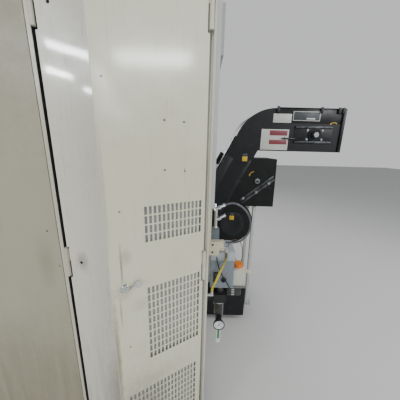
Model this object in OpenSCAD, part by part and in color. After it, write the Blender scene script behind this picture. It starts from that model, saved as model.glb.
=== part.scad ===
// CNC vertical machining centre with a rear control cabinet and a side chip conveyor.
// +Z is up, the operator stands on the -Y side, the control cabinet opens towards +Y,
// and the chip conveyor climbs out on the -X side. The origin is on the floor.

/* [Control cabinet] */
// X of the cabinet's outer wall beside the conveyor
cabinet_x = -753; // [-800:1:-700]
// Y of the cabinet's rear face
cabinet_rear = 1230; // [1200:1:1300]
// Depth of the cabinet, front to rear
cabinet_d = 420; // [360:5:440]
// Height of the cabinet's underside above the floor
cabinet_base = 40; // [30:1:60]
// Height of the cabinet's top above the floor
cabinet_top = 2180; // [2160:1:2260]
// Sheet thickness of cabinet and doors
sheet = 2; // [1.5:0.5:3]
// Distance from the cabinet's outer wall to the nearest hinge axis
hinge_inset = 19; // [16:1:24]
// Clear width between the two hinge axes of the double door
pair_w = 585; // [570:1:600]
// Width of the louvred door, from its hinge axis
grille_door_w = 371; // [350:1:380]
// Width of the solid single door
solid_door_w = 440; // [400:1:460]
// Height of the doors' lower edge
door_base = 70; // [60:1:80]
// Height of the doors' upper edge
door_top = 2150; // [2120:1:2155]
// Depth of the folded edges round each door
door_fold = 20; // [16:1:24]
// How far the louvred door stands open, in degrees
grille_door_ajar = 30.4; // [0:0.1:60]
// How far the narrow leaf stands open, in degrees
leaf_ajar = 5; // [0:0.5:20]

/* [Hinges and lock] */
// Outer diameter of a hinge knuckle
knuckle_d = 16; // [14:1:18]
// Length of one hinge knuckle
knuckle_l = 66; // [50:1:70]
// Diameter of a hinge pin
hinge_pin_d = 8; // [6:0.5:9]
// Distance of the outer hinges from the doors' ends
hinge_end = 110; // [90:5:200]
// Distance of the lock's axis from the louvred door's hinge axis
lock_u = 325; // [300:1:335]
// Height of the lock
lock_z = 1110; // [1000:5:1300]
// Diameter of the lock's bezel
bezel_d = 32; // [28:1:36]

/* [Air slots] */
// Width of one air slot
slot_w = 10.4; // [8:0.2:12]
// Height of one air slot
slot_h = 28.8; // [24:0.4:31]
// Spacing of slot columns
slot_pitch_x = 16.6; // [15:0.2:18]
// Spacing of slot rows
slot_pitch_z = 34.2; // [33:0.2:36]

/* [Chip conveyor] */
// Width of the conveyor across its side plates
conveyor_w = 330; // [280:5:340]
// Y of the side plate that faces the cabinet
conveyor_rear = 180; // [160:1:200]
// Angle of the climb, in degrees
climb_angle = 63.4; // [58:0.2:66]
// Thickness of the climbing section
climb_t = 225; // [215:1:240]
// Height of the discharge head's top
head_top = 1930; // [1880:1:1980]
// Height of the discharge head
head_h = 345; // [320:1:360]
// How far the discharge head reaches out from the enclosure
head_reach = 1610; // [1560:5:1650]
// Radius of the outer bend
bend_r = 340; // [300:5:360]
// Pitch of the hinged belt plates
belt_pitch = 63.5; // [60:0.5:80]
// Diameter of the head shaft
head_shaft_d = 40; // [35:1:45]

/* [Machine] */
// X of the spindle's centre line
spindle_x = 760; // [740:1:780]
// Y of the spindle's centre line
spindle_y = -300; // [-320:1:-290]
// Height of the spindle nose with the head fully raised
nose_z = 1510; // [1490:1:1530]
// Width of the enclosure
enclosure_w = 2170; // [2120:5:2200]
// X of the enclosure's wall beside the conveyor
enclosure_x = -290; // [-300:1:-280]
// Y of the enclosure's front face
enclosure_front_y = -1250; // [-1270:5:-1240]
// Y of the enclosure's rear wall
enclosure_rear_y = 560; // [540:5:600]
// Height of the enclosure
enclosure_top = 2100; // [2060:5:2150]
// Width of the bed casting
bed_w = 800; // [780:5:820]
// Height of the bed's upper face
bed_top = 620; // [610:1:640]
// Length of the table
table_l = 1100; // [1000:10:1120]
// Depth of the table
table_d = 520; // [460:10:540]
// Travel of the table to either side
travel_x = 340; // [300:10:340]
// Travel of the saddle to either side
travel_y = 250; // [200:10:250]
// Width of a table slot
t_slot = 18; // [14:1:22]
// Width of a guide rail
rail_w = 34; // [30:1:38]
// Height of a guide rail
rail_h = 30; // [26:1:32]
// Diameter of a ball screw
screw_d = 32; // [28:1:36]

/* [Tool changer] */
// Number of tool pockets
pockets = 16; // [12:1:16]
// Radius of the circle of pockets
pocket_r = 320; // [320:1:330]
// Distance of the changer's stroke
changer_stroke = 350; // [340:5:380]
// Diameter of a tool holder's flange
flange_d = 63; // [60:1:63]

/* [Door and pendant] */
// Width of the opening behind the front doors
front_opening_w = 1100; // [1000:10:1140]
// Height of the front opening's lower edge
front_sill = 900; // [880:5:950]
// Height of the front opening's upper edge
front_lintel = 1800; // [1780:5:1850]
// Width of the operator's panel
pendant_w = 400; // [380:5:420]

/* [Hidden] */
$fn = 48;

run_clear = 0.05;      // radial clearance of a pin in its bore
guide_gap = 0.1;       // play of a sliding door in its guides
panel_gap = 0.3;       // seam between neighbouring sheet panels
free_gap = 0.5;        // gap between parts that only pass each other
cream = "#d6d2bd";
dark_frame = "#2a2d30";
casting = "#8f9796";
steel = "#b8bbbd";
black = "#202124";

hinge_r_x = cabinet_x + hinge_inset;
hinge_l_x = hinge_r_x + pair_w;
leaf_w = pair_w - grille_door_w - 2;
cam_depth = door_fold + sheet + 1;        // lock cam behind the door's outer face
strap_t = 3;                             // thickness of a hinge strap
edge_gap = 4;                            // hinge axis to the door's folded edge
frame_gap = 10;                          // hinge axis to the frame's edge
mullion_w = 14;
solid_door_x = hinge_l_x + frame_gap + mullion_w + 3;
hinge_a_x = solid_door_x + solid_door_w + edge_gap;
cabinet_x2 = hinge_a_x + hinge_inset + 1;
cabinet_front = cabinet_rear - cabinet_d;
axis_y = cabinet_rear + 1;
hinge_levels = [door_base + hinge_end, (door_base + door_top) / 2, door_top - hinge_end];

spindle_head_z = nose_z + 90;
column_face = 330;
column_w = 620;
column_rear = 1050;
column_foot = bed_top + 280;             // where the column's back starts to lean
column_top = 2450;
rib_depth = 90;
screw_z_base = 1010;
truck_gap = 8;
truck_top = rail_h + 5;
saddle_z = bed_top + truck_top + 10;
saddle_h = 120;
table_z = saddle_z + saddle_h + truck_top + 10;
table_h = 70;
screw_y_z = bed_top - 20;
screw_x_z = saddle_z + saddle_h + 5;
screw_z_y = column_face + 15;
saddle_motor = 76;
bed_front = -1000;
bed_rear = 1080;
front_t = 40;          // thickness of the enclosure's front
trough_base = 110;
trough_top = 340;
enclosure_x2 = enclosure_x + enclosure_w;
opening_x = spindle_x - front_opening_w / 2;
opening_x2 = spindle_x + front_opening_w / 2;

// A box between two opposite corners.
module between(a, b) {
    translate(a)
        cube(b - a);
}

// A cylinder along Y that starts at a point and runs to larger Y.
module rod_y(p, d, l) {
    translate(p)
        rotate([-90, 0, 0])
            cylinder(d = d, h = l);
}

// A cylinder along X that starts at a point and runs to larger X.
module rod_x(p, d, l) {
    translate(p)
        rotate([0, 90, 0])
            cylinder(d = d, h = l);
}

// A cylinder along Z.
module rod_z(p, d, l) {
    translate(p)
        cylinder(d = d, h = l);
}

// Turns children about an upright axis at (x, axis_y).
module swung(x, angle) {
    translate([x, axis_y, 0])
        rotate([0, 0, angle])
            children();
}

// Folded door in its own frame: hinge axis at the origin, outer face at y = -1,
// body towards +X. Notches leave room for the hinges.
module door_pan(w, h0, h1) {
    outer = -1;
    difference() {
        between([edge_gap, outer - door_fold, h0], [w, outer, h1]);
        between([edge_gap + sheet, outer - door_fold - 1, h0 + sheet], [w - sheet, outer - sheet, h1 - sheet]);
        for (z = hinge_levels)
            between(
                [edge_gap - 1, outer - door_fold - 1, z - knuckle_l - 10],
                [edge_gap + knuckle_d / 2 + 1, outer + 1, z + knuckle_l + 4]
            );
    }
}

// Screw access holes beside the hinges.
module hinge_screw_holes(x) {
    for (z = hinge_levels)
        translate([x, -sheet - 1.5, z])
            rotate([-90, 0, 0])
                cylinder(d = 13, h = sheet + 2);
}

// The upper knuckle of each hinge, with its strap behind the door's sheet.
module door_knuckles(strap_l) {
    for (z = hinge_levels)
        difference() {
            union() {
                rod_z([0, 0, z + 0.3], knuckle_d, knuckle_l - 0.3);
                between([0, -1 - sheet - strap_t, z + 6], [strap_l, -1 - sheet, z + knuckle_l - 6]);
            }
            rod_z([0, 0, z - 1], hinge_pin_d + 2 * run_clear, knuckle_l - 6);
        }
}

// The lower knuckle with its pin, and the strap to the frame on the other side.
module frame_knuckle(z, side) {
    rod_z([0, 0, z - knuckle_l], knuckle_d, knuckle_l);
    rod_z([0, 0, z - 1], hinge_pin_d, knuckle_l - 10);
    translate([side < 0 ? -frame_gap - 6 : 0, -1 - sheet - strap_t, z - knuckle_l + 6])
        cube([frame_gap + 6, strap_t, knuckle_l - 12]);
}

// Air slots cut through a door: columns from u0, rows down from z_top.
module slot_field(u0, z_top, columns, rows) {
    for (i = [0:columns - 1], j = [0:rows - 1])
        translate([u0 + i * slot_pitch_x, -2 - sheet, z_top - slot_h - j * slot_pitch_z])
            cube([slot_w, sheet + 4, slot_h]);
}

grilles = [[20.5, 1400, 14, 4], [20.5, 1084, 14, 10], [30, 597, 19, 10]];

function field_w(columns) = (columns - 1) * slot_pitch_x + slot_w;
function field_h(rows) = (rows - 1) * slot_pitch_z + slot_h;

// A box section with one open side, for covers: open towards +Y of its own frame.
module tray(a, b, t) {
    difference() {
        between(a, b);
        between(a + [t, t, t], [b[0] - t, b[1] + 1, b[2] - t]);
    }
}

module cabinet_shell() {
    x1 = cabinet_x;
    x2 = cabinet_x2;
    y1 = cabinet_front;
    y2 = cabinet_rear;
    color(cream) {
        difference() {
            between([x1, y1, cabinet_base], [x2, y2, cabinet_top]);
            between([x1 + sheet, y1 + sheet, cabinet_base + sheet], [x2 - sheet, y2 - sheet, cabinet_top - sheet]);
            between([hinge_r_x - frame_gap, y2 - 10, door_base - 3], [hinge_l_x + frame_gap, y2 + 1, door_top + 3]);
            between([solid_door_x - 3, y2 - 10, door_base - 3], [hinge_a_x + frame_gap, y2 + 1, door_top + 3]);
        }
        between(
            [hinge_l_x + frame_gap, y2 - 40, cabinet_base + sheet],
            [hinge_l_x + frame_gap + mullion_w, y2 - sheet - strap_t, cabinet_top - sheet]
        );
        for (z = [door_base - 3, door_top - 15])
            between([x1 + sheet, y2 - 28, z], [x2 - sheet, y2 - 26, z + 18]);
        between([x1 + 40, y1 + 30, 0], [x2 - 40, y2 - 60, cabinet_base]);
        for (z = [420, 1820])
            between([x2 - 330, enclosure_rear_y, z], [x2 - 230, y1, z + 70]);
    }
}

module cabinet_hinges() {
    color(steel)
        for (z = hinge_levels) {
            translate([hinge_r_x, axis_y, 0])
                frame_knuckle(z, -1);
            translate([hinge_l_x, axis_y, 0])
                frame_knuckle(z, 1);
            translate([hinge_a_x, axis_y, 0])
                frame_knuckle(z, 1);
        }
}

module side_cover() {
    y2 = cabinet_rear - 4;
    color(cream) {
        between([cabinet_x - 15, y2 - 300, cover_base], [cabinet_x, y2, door_top]);
        difference() {
            between([cabinet_x - 30, y2 - 290, door_top - 225], [cabinet_x - 15, y2 - 55, door_top - 65]);
            between([cabinet_x - 31, y2 - 272, door_top - 207], [cabinet_x - 22, y2 - 73, door_top - 83]);
        }
    }
}

module mounting_plate() {
    color("#c9a86a")
        between(
            [cabinet_x + 50, cabinet_front + 22, cabinet_base + 90],
            [cabinet_x2 - 50, cabinet_front + 25, cabinet_top - 90]
        );
    color(steel)
        for (x = [cabinet_x + 70, cabinet_x2 - 70], z = [cabinet_base + 120, cabinet_top - 120])
            rod_y([x, cabinet_front + sheet, z], 12, 20);
}

module drive_units() {
    y = cabinet_front + 25;
    color("#3b3f44") {
        for (i = [0:4])
            tray([cabinet_x + 90 + i * 95, y, 1500], [cabinet_x + 175 + i * 95, y + 220, 1880], 3);
        for (i = [0:11])
            between([cabinet_x + 100 + i * 38, y, 1180], [cabinet_x + 134 + i * 38, y + 75, 1265]);
        between([cabinet_x + 620, y, 1400], [cabinet_x + 900, y + 190, 1800]);
        between([cabinet_x + 90, y, 700], [cabinet_x + 350, y + 160, 900]);
        between([cabinet_x + 620, y, 500], [cabinet_x + 860, y + 200, 760]);
    }
    color("#9aa0a4")
        for (z = [1000, 1330, 1960])
            tray([cabinet_x + 80, y, z], [cabinet_x + 600, y + 60, z + 60], 2);
}

module grille_door() {
    color(cream)
        swung(hinge_r_x, grille_door_ajar)
            difference() {
                door_pan(grille_door_w, door_base, door_top);
                for (g = grilles)
                    slot_field(g[0], g[1], g[2], g[3]);
                translate([lock_u, -sheet - 2, lock_z])
                    rotate([-90, 0, 0])
                        cylinder(d = 20, h = sheet + 3);
                for (u = [94.5, 169.5], z = [1524, 1682])
                    translate([u, -sheet - 2, z])
                        rotate([-90, 0, 0])
                            cylinder(d = 4, h = sheet + 3, $fn = 16);
            }
}

module grille_door_hinges() {
    color(steel)
        swung(hinge_r_x, grille_door_ajar)
            door_knuckles(18);
}

module grille_baffles() {
    color(cream)
        swung(hinge_r_x, grille_door_ajar)
            for (g = grilles) {
                u1 = g[0] + field_w(g[2]) + 12;
                z0 = g[1] - field_h(g[3]) - 14;
                difference() {
                    between([g[0] - 9, -1 - sheet - 14, z0], [u1, -1 - sheet, g[1] + 14]);
                    between([g[0] - 7, -1 - sheet - 12, z0 - 1], [u1 - 2, 0, g[1] + 15]);
                }
            }
}

module lock_bezel() {
    color(steel)
        swung(hinge_r_x, grille_door_ajar)
            translate([lock_u, -1, lock_z])
                rotate([-90, 0, 0])
                    difference() {
                        union() {
                            cylinder(d = bezel_d, h = 3);
                            translate([0, 0, 3])
                                cylinder(d1 = bezel_d, d2 = bezel_d - 5, h = 2.5);
                            translate([0, 0, -sheet - 10])
                                cylinder(d = 19.6, h = sheet + 10);
                            translate([0, 0, -sheet - 7])
                                cylinder(d = 30, h = 7, $fn = 6);
                            translate([-22, 2, 0])
                                cylinder(d = 8, h = 3);
                        }
                        translate([0, 0, -sheet - 11])
                            cylinder(d = 14 + 2 * run_clear, h = 30);
                    }
}

module lock_plug() {
    color(steel)
        swung(hinge_r_x, grille_door_ajar)
            translate([lock_u, -1, lock_z])
                rotate([-90, 0, 0]) {
                    difference() {
                        translate([0, 0, -cam_depth])
                            cylinder(d = 14, h = cam_depth + 7.5);
                        rotate([0, 0, 20])
                            translate([-4.5, -0.8, 4])
                                cube([9, 1.6, 5]);
                    }
                    translate([-7, -7, -cam_depth - 3])
                        cube([14, 62, 3]);
                }
}

module keyhole_cover() {
    color(steel)
        swung(hinge_r_x, grille_door_ajar)
            translate([lock_u - 22, -1, lock_z - 2])
                rotate([-90, 0, 0]) {
                    translate([0, 0, 3.2])
                        cylinder(d = 8, h = 6.8);
                    translate([-22, -10, 8])
                        difference() {
                            cylinder(d = 27, h = 2);
                            translate([0, 0, 1.2])
                                cylinder(d = 22, h = 2);
                        }
                    rotate([0, 0, 24])
                        translate([-20, -4, 8])
                            cube([20, 8, 2]);
                }
}

module left_leaf() {
    color(cream)
        swung(hinge_l_x, -leaf_ajar)
            mirror([1, 0, 0])
                difference() {
                    door_pan(leaf_w, door_base, door_top);
                    hinge_screw_holes(60);
                }
}

module leaf_hinges() {
    color(steel)
        swung(hinge_l_x, -leaf_ajar)
            mirror([1, 0, 0])
                door_knuckles(72);
}

module solid_door() {
    color(cream)
        swung(hinge_a_x, 0)
            mirror([1, 0, 0])
                difference() {
                    door_pan(solid_door_w + edge_gap, door_base, door_top);
                    translate([disconnect_u, -sheet - 2, disconnect_z])
                        rotate([-90, 0, 0])
                            cylinder(d = 14 + 2 * run_clear, h = sheet + 3);
                }
}

module solid_door_hinges() {
    color(steel)
        swung(hinge_a_x, 0)
            mirror([1, 0, 0])
                door_knuckles(18);
}

disconnect_u = 120;      // from the single door's hinge axis
disconnect_z = 1350;

module disconnect_handle() {
    color("#b3261e")
        translate([hinge_a_x - disconnect_u, axis_y - 1, disconnect_z])
            rotate([-90, 0, 0]) {
                translate([0, 0, -30])
                    cylinder(d = 14, h = 40);
                translate([0, 0, 0.3])
                    cylinder(d = 66, h = 12);
                hull() {
                    translate([0, 0, 12])
                        cylinder(d = 30, h = 20, $fn = 32);
                    translate([0, -34, 12])
                        cylinder(d = 14, h = 18, $fn = 32);
                }
            }
}

junction_x = cabinet_x - 15;
junction_y = cabinet_rear - 150;
junction_z = 1130;
junction_top = junction_z + 35;
solenoid_top = 1215;
cover_base = 1362;

module air_junction() {
    color("#dcd7bf") {
        between([junction_x - 40, junction_y - 40, junction_z - 35], [junction_x + 15, junction_y + 40, junction_top]);
        rod_x([junction_x - 62, junction_y, junction_z], 56, 22);
        rod_z([junction_x + 7.5, junction_y - 22, junction_top], 14.6, cover_base - junction_top);
        rod_z([junction_x + 7.5, junction_y + 22, junction_top], 14.6, cover_base - junction_top);
    }
    color("#6b7076")
        between([junction_x - 40, junction_y - 30, junction_top], [junction_x - 4, junction_y + 8, solenoid_top]);
}

// A push-in fitting of length l from the origin along Z, with a hexagon body.
module fitting(l) {
    cylinder(d = 13, h = l);
    translate([0, 0, l * 0.2])
        cylinder(d = 21, h = l * 0.3, $fn = 6);
    translate([0, 0, l - 9])
        cylinder(d = 17, h = 9);
}

module air_fittings() {
    color("#d5d8dc") {
        translate([junction_x - 22, junction_y - 10, solenoid_top]) {
            cylinder(d = 20, h = 10, $fn = 6);
            cylinder(d = 14, h = 106);
            translate([0, 0, 100])
                rotate([0, -65, 0])
                    fitting(46);
            translate([0, 0, 44])
                rotate([0, -62, 0])
                    fitting(52);
            translate([0, 0, 84])
                rotate([20, 12, 0])
                    fitting(40);
        }
        for (p = socket_ports)
            rod_x([junction_x - 74, p[0], p[1]], 15, 12);
        rod_x([junction_x - 88, socket_ports[1][0], socket_ports[1][1]], 15, 14);
        rod_z([junction_x - 81, socket_ports[1][0], socket_ports[1][1] - 20], 15, 20);
        rod_z([hose_entry[0], hose_entry[1], hose_entry[2] - 24.5], 16, 24);
        rod_x([hose_entry[0] - 8, hose_entry[1], hose_entry[2] - 24.5], 16, cabinet_x - hose_entry[0] + 8);
    }
}

// Sweeps a round tube of d along points, with sides flat facets.
module tube_along(points, d, sides) {
    n = len(points);
    tangents = [
        for (i = [0:n - 1])
            let (v = points[min(i + 1, n - 1)] - points[max(i - 1, 0)]) v / norm(v)
    ];
    rings = [
        for (i = [0:n - 1], k = [0:sides - 1])
            let (
                t = tangents[i],
                ref = [0.13, 0.99, 0.05],
                u0 = cross(t, ref),
                u = u0 / norm(u0),
                w = cross(t, u),
                a = 360 * k / sides
            )
            points[i] + d / 2 * (cos(a) * u + sin(a) * w)
    ];
    polyhedron(
        points = rings,
        faces = concat(
            [[for (k = [0:sides - 1]) k]],
            [for (i = [0:n - 2], k = [0:sides - 1]) let (k2 = (k + 1) % sides) [
                i * sides + k, (i + 1) * sides + k, (i + 1) * sides + k2, i * sides + k2
            ]],
            [[for (k = [sides - 1:-1:0]) (n - 1) * sides + k]]
        )
    );
}

// Points of a smooth curve through a hand-laid route.
function spline_point(p0, p1, p2, p3, t) =
    0.5 * (2 * p1 + (p2 - p0) * t + (2 * p0 - 5 * p1 + 4 * p2 - p3) * t * t
    + (3 * p1 - p0 - 3 * p2 + p3) * t * t * t);
function smooth_route(r, steps) = [
    for (i = [0:len(r) - 2], s = [0:steps - 1])
        spline_point(r[max(i - 1, 0)], r[i], r[i + 1], r[min(i + 2, len(r) - 1)], s / steps),
    r[len(r) - 1]
];

socket_ports = [[junction_y - 8, junction_z + 12], [junction_y + 8, junction_z - 12]];
hose_entry = [cabinet_x - 30, 1104, 884.5];
air_hose_route = [
    [-832.1, 1070, 1334.6], [-856, 1070, 1344], [-884, 1069, 1342], [-912, 1067, 1327], [-937, 1065, 1303],
    [-955, 1063, 1272], [-963, 1062, 1238], [-960, 1063, 1205], [-945, 1065, 1174], [-921, 1068, 1152],
    [-892, 1071, 1143], [-866, 1072, 1142], [-842.3, 1072, 1142]
];
yellow_hose_route = [
    [-849, 1088, 1097.5], [-849, 1090, 1075], [-844, 1097, 1052], [-833, 1106, 1030], [-820, 1114, 1006],
    [-809, 1119, 980], [-800, 1119, 952], [-792, 1113, 928], [-785, 1106, 905], hose_entry
];

module air_hose() {
    color("#8d9099")
        tube_along(smooth_route(air_hose_route, 2), 10, 10);
}

module yellow_hose() {
    color("#cbbd3a")
        tube_along(smooth_route(yellow_hose_route, 2), 12, 10);
}

frl_x = cabinet_x - 75;
frl_y = cabinet_rear - 170;
bowl_pitch = 75;
gauge_z = 674;

module frl_unit() {
    color(black) {
        between([frl_x - 32, frl_y - 32, 800], [frl_x + 32, frl_y + 32, 850]);
        between([frl_x - 30, frl_y - bowl_pitch - 35, 800], [frl_x + 30, frl_y - 32, 845]);
        between([frl_x - 15, frl_y - 15, gauge_z - 16], [frl_x + 15, frl_y + 30, 710]);
        rod_y([frl_x, frl_y + 30, gauge_z], 52, 14);
    }
    color(steel)
        between([frl_x + 30, frl_y - 90, 812], [cabinet_x, frl_y + 20, 838]);
    color("#e8eaee")
        rod_y([frl_x, frl_y + 44, gauge_z], 46, 3);
}

module frl_bowls() {
    color("#3d4348")
        for (y = [0, -bowl_pitch])
            translate([frl_x, frl_y + y, 0]) {
                rod_z([0, 0, 710], 50, 78);
                rod_z([0, 0, 788], 44, 12);
            }
}

module regulator_knob() {
    color(black)
        translate([frl_x, frl_y, 850.3]) {
            cylinder(d = 40, h = 24);
            translate([0, 0, 24])
                cylinder(d1 = 40, d2 = 34, h = 5);
        }
}

lube_y = cabinet_rear - 220;
lube_base = 890;

module lube_pump() {
    color("#a7adb3")
        difference() {
            between([cabinet_x - 140, lube_y - 70, lube_base], [cabinet_x - 20, lube_y + 70, lube_base + 200]);
            rod_y([cabinet_x - 90, lube_y + 60, lube_base + 45], 26, 11);
            between([cabinet_x - 60, lube_y + 62, lube_base + 30], [cabinet_x - 36, lube_y + 71, lube_base + 90]);
        }
    color(steel) {
        between([cabinet_x - 20, lube_y - 60, lube_base + 20], [cabinet_x, lube_y + 60, lube_base + 180]);
        between([cabinet_x - 205, lube_y - 60, lube_base - 4], [cabinet_x - 20, lube_y + 70, lube_base]);
    }
}

module lube_reservoir() {
    color("#d9dccf")
        difference() {
            between([cabinet_x - 204, lube_y - 55, lube_base], [cabinet_x - 140, lube_y + 55, lube_base + 90]);
            between([cabinet_x - 201, lube_y - 52, lube_base + 3], [cabinet_x - 143, lube_y + 52, lube_base + 87]);
            rod_z([cabinet_x - 172, lube_y + 20, lube_base + 80], 36 + 2 * run_clear, 20);
        }
}

module lube_cap() {
    color("#e8892b")
        translate([cabinet_x - 172, lube_y + 20, lube_base + 90]) {
            translate([0, 0, -3])
                cylinder(d = 36, h = 4);
            translate([0, 0, 0.3])
                cylinder(d = 46, h = 24);
            for (a = [0:30:330])
                rotate([0, 0, a])
                    translate([22, -2, 0.3])
                        cube([3, 4, 22]);
        }
}

module bed() {
    tunnel_y1 = conveyor_rear - conveyor_w - 12;
    color(casting)
        difference() {
            union() {
                between([spindle_x - bed_w / 2, bed_front, 100], [spindle_x + bed_w / 2, bed_rear, bed_top]);
                for (p = feet)
                    between([p[0] - 70, p[1] - 70, 60], [p[0] + 70, p[1] + 70, 130]);
            }
            between(
                [spindle_x - bed_w / 2 - 1, tunnel_y1, 99],
                [spindle_x + bed_w / 2 + 1, conveyor_rear + 12, trough_top + 60]
            );
            between([spindle_x - 60, bed_front + 60, bed_top - 62], [spindle_x + 60, 290, bed_top + 1]);
            for (y = [bed_front - 1, 280])
                rod_y([spindle_x, y, screw_y_z], 20 + 2 * run_clear, 70);
            for (s = [-1, 1], y = [bed_front + 90, bed_front + 380])
                between(
                    [spindle_x + s * bed_w / 2 - 30, y, 180],
                    [spindle_x + s * bed_w / 2 + 30, y + 230, 520]
                );
            for (p = feet)
                rod_z([p[0], p[1], 50], 24 + 2 * run_clear, 90);
            for (p = feet)
                rod_z([p[0], p[1], 130], 60, 50);
        }
}

feet = [
    for (s = [-1, 1], y = [bed_front + 80, -300]) [spindle_x + s * (bed_w / 2 + 40), y],
    for (s = [-1, 1]) [spindle_x + s * 250, bed_rear + 40]
];

module levelling_feet() {
    color("#4a4d50")
        for (p = feet) {
            rod_z([p[0], p[1], 0], 120, 22);
            translate([p[0], p[1], 22])
                cylinder(d1 = 60, d2 = 40, h = 12);
            rod_z([p[0], p[1], 34], 24, 130);
            translate([p[0], p[1], 130])
                cylinder(d = 42, h = 20, $fn = 6);
        }
}

module column() {
    color(casting)
        difference() {
            union() {
                translate([spindle_x - column_w / 2, 0, 0])
                    rotate([90, 0, 90])
                        linear_extrude(column_w)
                            polygon([
                                [column_face, bed_top], [column_rear, bed_top], [column_rear, column_foot],
                                [column_back(column_top - 100), column_top - 100],
                                [column_back(column_top - 100) - 40, column_top], [column_face, column_top]
                            ]);
                between([spindle_x - 380, column_face + 30, bed_top], [spindle_x + 380, column_rear + 10, bed_top + 80]);
            }
            between([spindle_x - 62, column_face - 1, screw_z_base + 50], [spindle_x + 62, column_face + 80, column_top - 40]);
            rod_z([spindle_x, screw_z_y, screw_z_base - 10], 25 + 2 * run_clear, 70);
            rod_z([spindle_x, screw_z_y, column_top - 50], 25 + 2 * run_clear, 60);
            for (i = [0:2], s = [-1, 1]) {
                z0 = column_foot + 80 + i * 430;
                translate([spindle_x + s * 150 - 110, 0, 0])
                    rotate([90, 0, 90])
                        linear_extrude(220)
                            polygon([
                                [column_back(z0) - rib_depth, z0], [column_back(z0) + 40, z0],
                                [column_back(z0 + 360) + 40, z0 + 360], [column_back(z0 + 360) - rib_depth, z0 + 360]
                            ]);
                translate([spindle_x + s * column_w / 2 - 25, column_face + 140, z0])
                    cube([50, 180, 360]);
            }
        }
    color("#c9cdc6")
        difference() {
            between(
                [enclosure_x + 45, changer_beam_y, carousel_z + 170],
                [spindle_x - column_w / 2, column_face + 90, carousel_z + 280]
            );
            between(
                [enclosure_x + 44, changer_beam_y + 60, carousel_z + 169],
                [spindle_x - column_w / 2 - 60, column_face + 91, carousel_z + 281]
            );
        }
}

// Y of the column's leaning back at height z.
function column_back(z) = column_rear - (z - column_foot) * 150 / 1450;

// A guide rail of length l along X, base on z = 0, with relieved flanks.
module rail(l) {
    rotate([90, 0, 90])
        linear_extrude(l)
            polygon([
                [-rail_w / 2, 0], [rail_w / 2, 0], [rail_w / 2, rail_h * 0.35],
                [rail_w / 2 - 5, rail_h * 0.5], [rail_w / 2, rail_h * 0.68], [rail_w / 2, rail_h],
                [-rail_w / 2, rail_h], [-rail_w / 2, rail_h * 0.68],
                [-rail_w / 2 + 5, rail_h * 0.5], [-rail_w / 2, rail_h * 0.35]
            ]);
}

// A rail carriage of length l along X, centred, that runs over the rail.
module truck(l) {
    translate([-l / 2, 0, 0])
        rotate([90, 0, 90])
            linear_extrude(l)
                polygon([
                    [-45, truck_gap], [-rail_w / 2 - free_gap, truck_gap],
                    [-rail_w / 2 - free_gap, rail_h + free_gap], [rail_w / 2 + free_gap, rail_h + free_gap],
                    [rail_w / 2 + free_gap, truck_gap], [45, truck_gap],
                    [45, truck_top + 10], [-45, truck_top + 10]
                ]);
}

rail_y_x = [spindle_x - 290, spindle_x + 290];
rail_z_x = [spindle_x - 190, spindle_x + 190];
rail_x_y = [spindle_y - 180, spindle_y + 180];

module fixed_rails() {
    color(steel) {
        for (x = rail_y_x)
            translate([x, bed_front + 40, bed_top])
                rotate([0, 0, 90])
                    rail(1280);
        for (x = rail_z_x)
            translate([x, column_face, 1080])
                rotate([0, -90, 90])
                    rail(1340);
    }
}

module saddle() {
    top = saddle_z + saddle_h;
    color(casting) {
        difference() {
            union() {
                between([spindle_x - 460, spindle_y - 250, saddle_z], [spindle_x + 460, spindle_y + 250, top]);
                between([spindle_x - 380, spindle_y - 340, saddle_z + 30], [spindle_x + 380, spindle_y + 340, top]);
                between([spindle_x - 460, spindle_y - 45, top - 1], [spindle_x - 425, spindle_y + 45, top + 25]);
                between([spindle_x + 425, spindle_y - 45, top - 1], [spindle_x + 460, spindle_y + 45, top + 25]);
            }
            between([spindle_x - 425, spindle_y - 34, top - 32], [spindle_x + 425, spindle_y + 34, top + 30]);
            rod_x([spindle_x - 461, spindle_y, screw_x_z], 20 + 2 * run_clear, 922);
        }
        difference() {
            union() {
                rod_y([spindle_x, spindle_y - 45, screw_y_z], 54, 90);
                between([spindle_x - 27, spindle_y - 45, screw_y_z], [spindle_x + 27, spindle_y + 45, saddle_z + 1]);
            }
            rod_y([spindle_x, spindle_y - 46, screw_y_z], screw_d + 2 * run_clear, 92);
        }
    }
    color(steel) {
        for (x = rail_y_x, s = [-1, 1])
            translate([x, spindle_y + s * 190, bed_top])
                rotate([0, 0, 90])
                    truck(110);
        for (y = rail_x_y)
            translate([spindle_x - 455, y, top])
                rail(910);
    }
    color(black)
        translate([spindle_x + 460, spindle_y - saddle_motor / 2, screw_x_z - saddle_motor / 2])
            cube([180, saddle_motor, saddle_motor]);
}

module table() {
    top = table_z + table_h;
    x1 = spindle_x - table_l / 2;
    color("#a4a8a9")
        difference() {
            union() {
                between([x1, spindle_y - table_d / 2, table_z], [x1 + table_l, spindle_y + table_d / 2, top]);
                between([spindle_x - 60, spindle_y - 25, screw_x_z], [spindle_x + 60, spindle_y + 25, table_z + 1]);
                rod_x([spindle_x - 60, spindle_y, screw_x_z], 50, 120);
            }
            rod_x([spindle_x - 61, spindle_y, screw_x_z], screw_d + 2 * run_clear, 122);
            for (i = [-2:2]) {
                y = spindle_y + i * 100;
                between([x1 - 1, y - t_slot / 2, top - 30], [x1 + table_l + 1, y + t_slot / 2, top + 1]);
                between([x1 - 1, y - t_slot * 0.85, top - 30], [x1 + table_l + 1, y + t_slot * 0.85, top - 18]);
            }
        }
    color(steel)
        for (y = rail_x_y, s = [-1, 1])
            translate([spindle_x + s * 55, y, saddle_z + saddle_h])
                truck(100);
}

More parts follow.
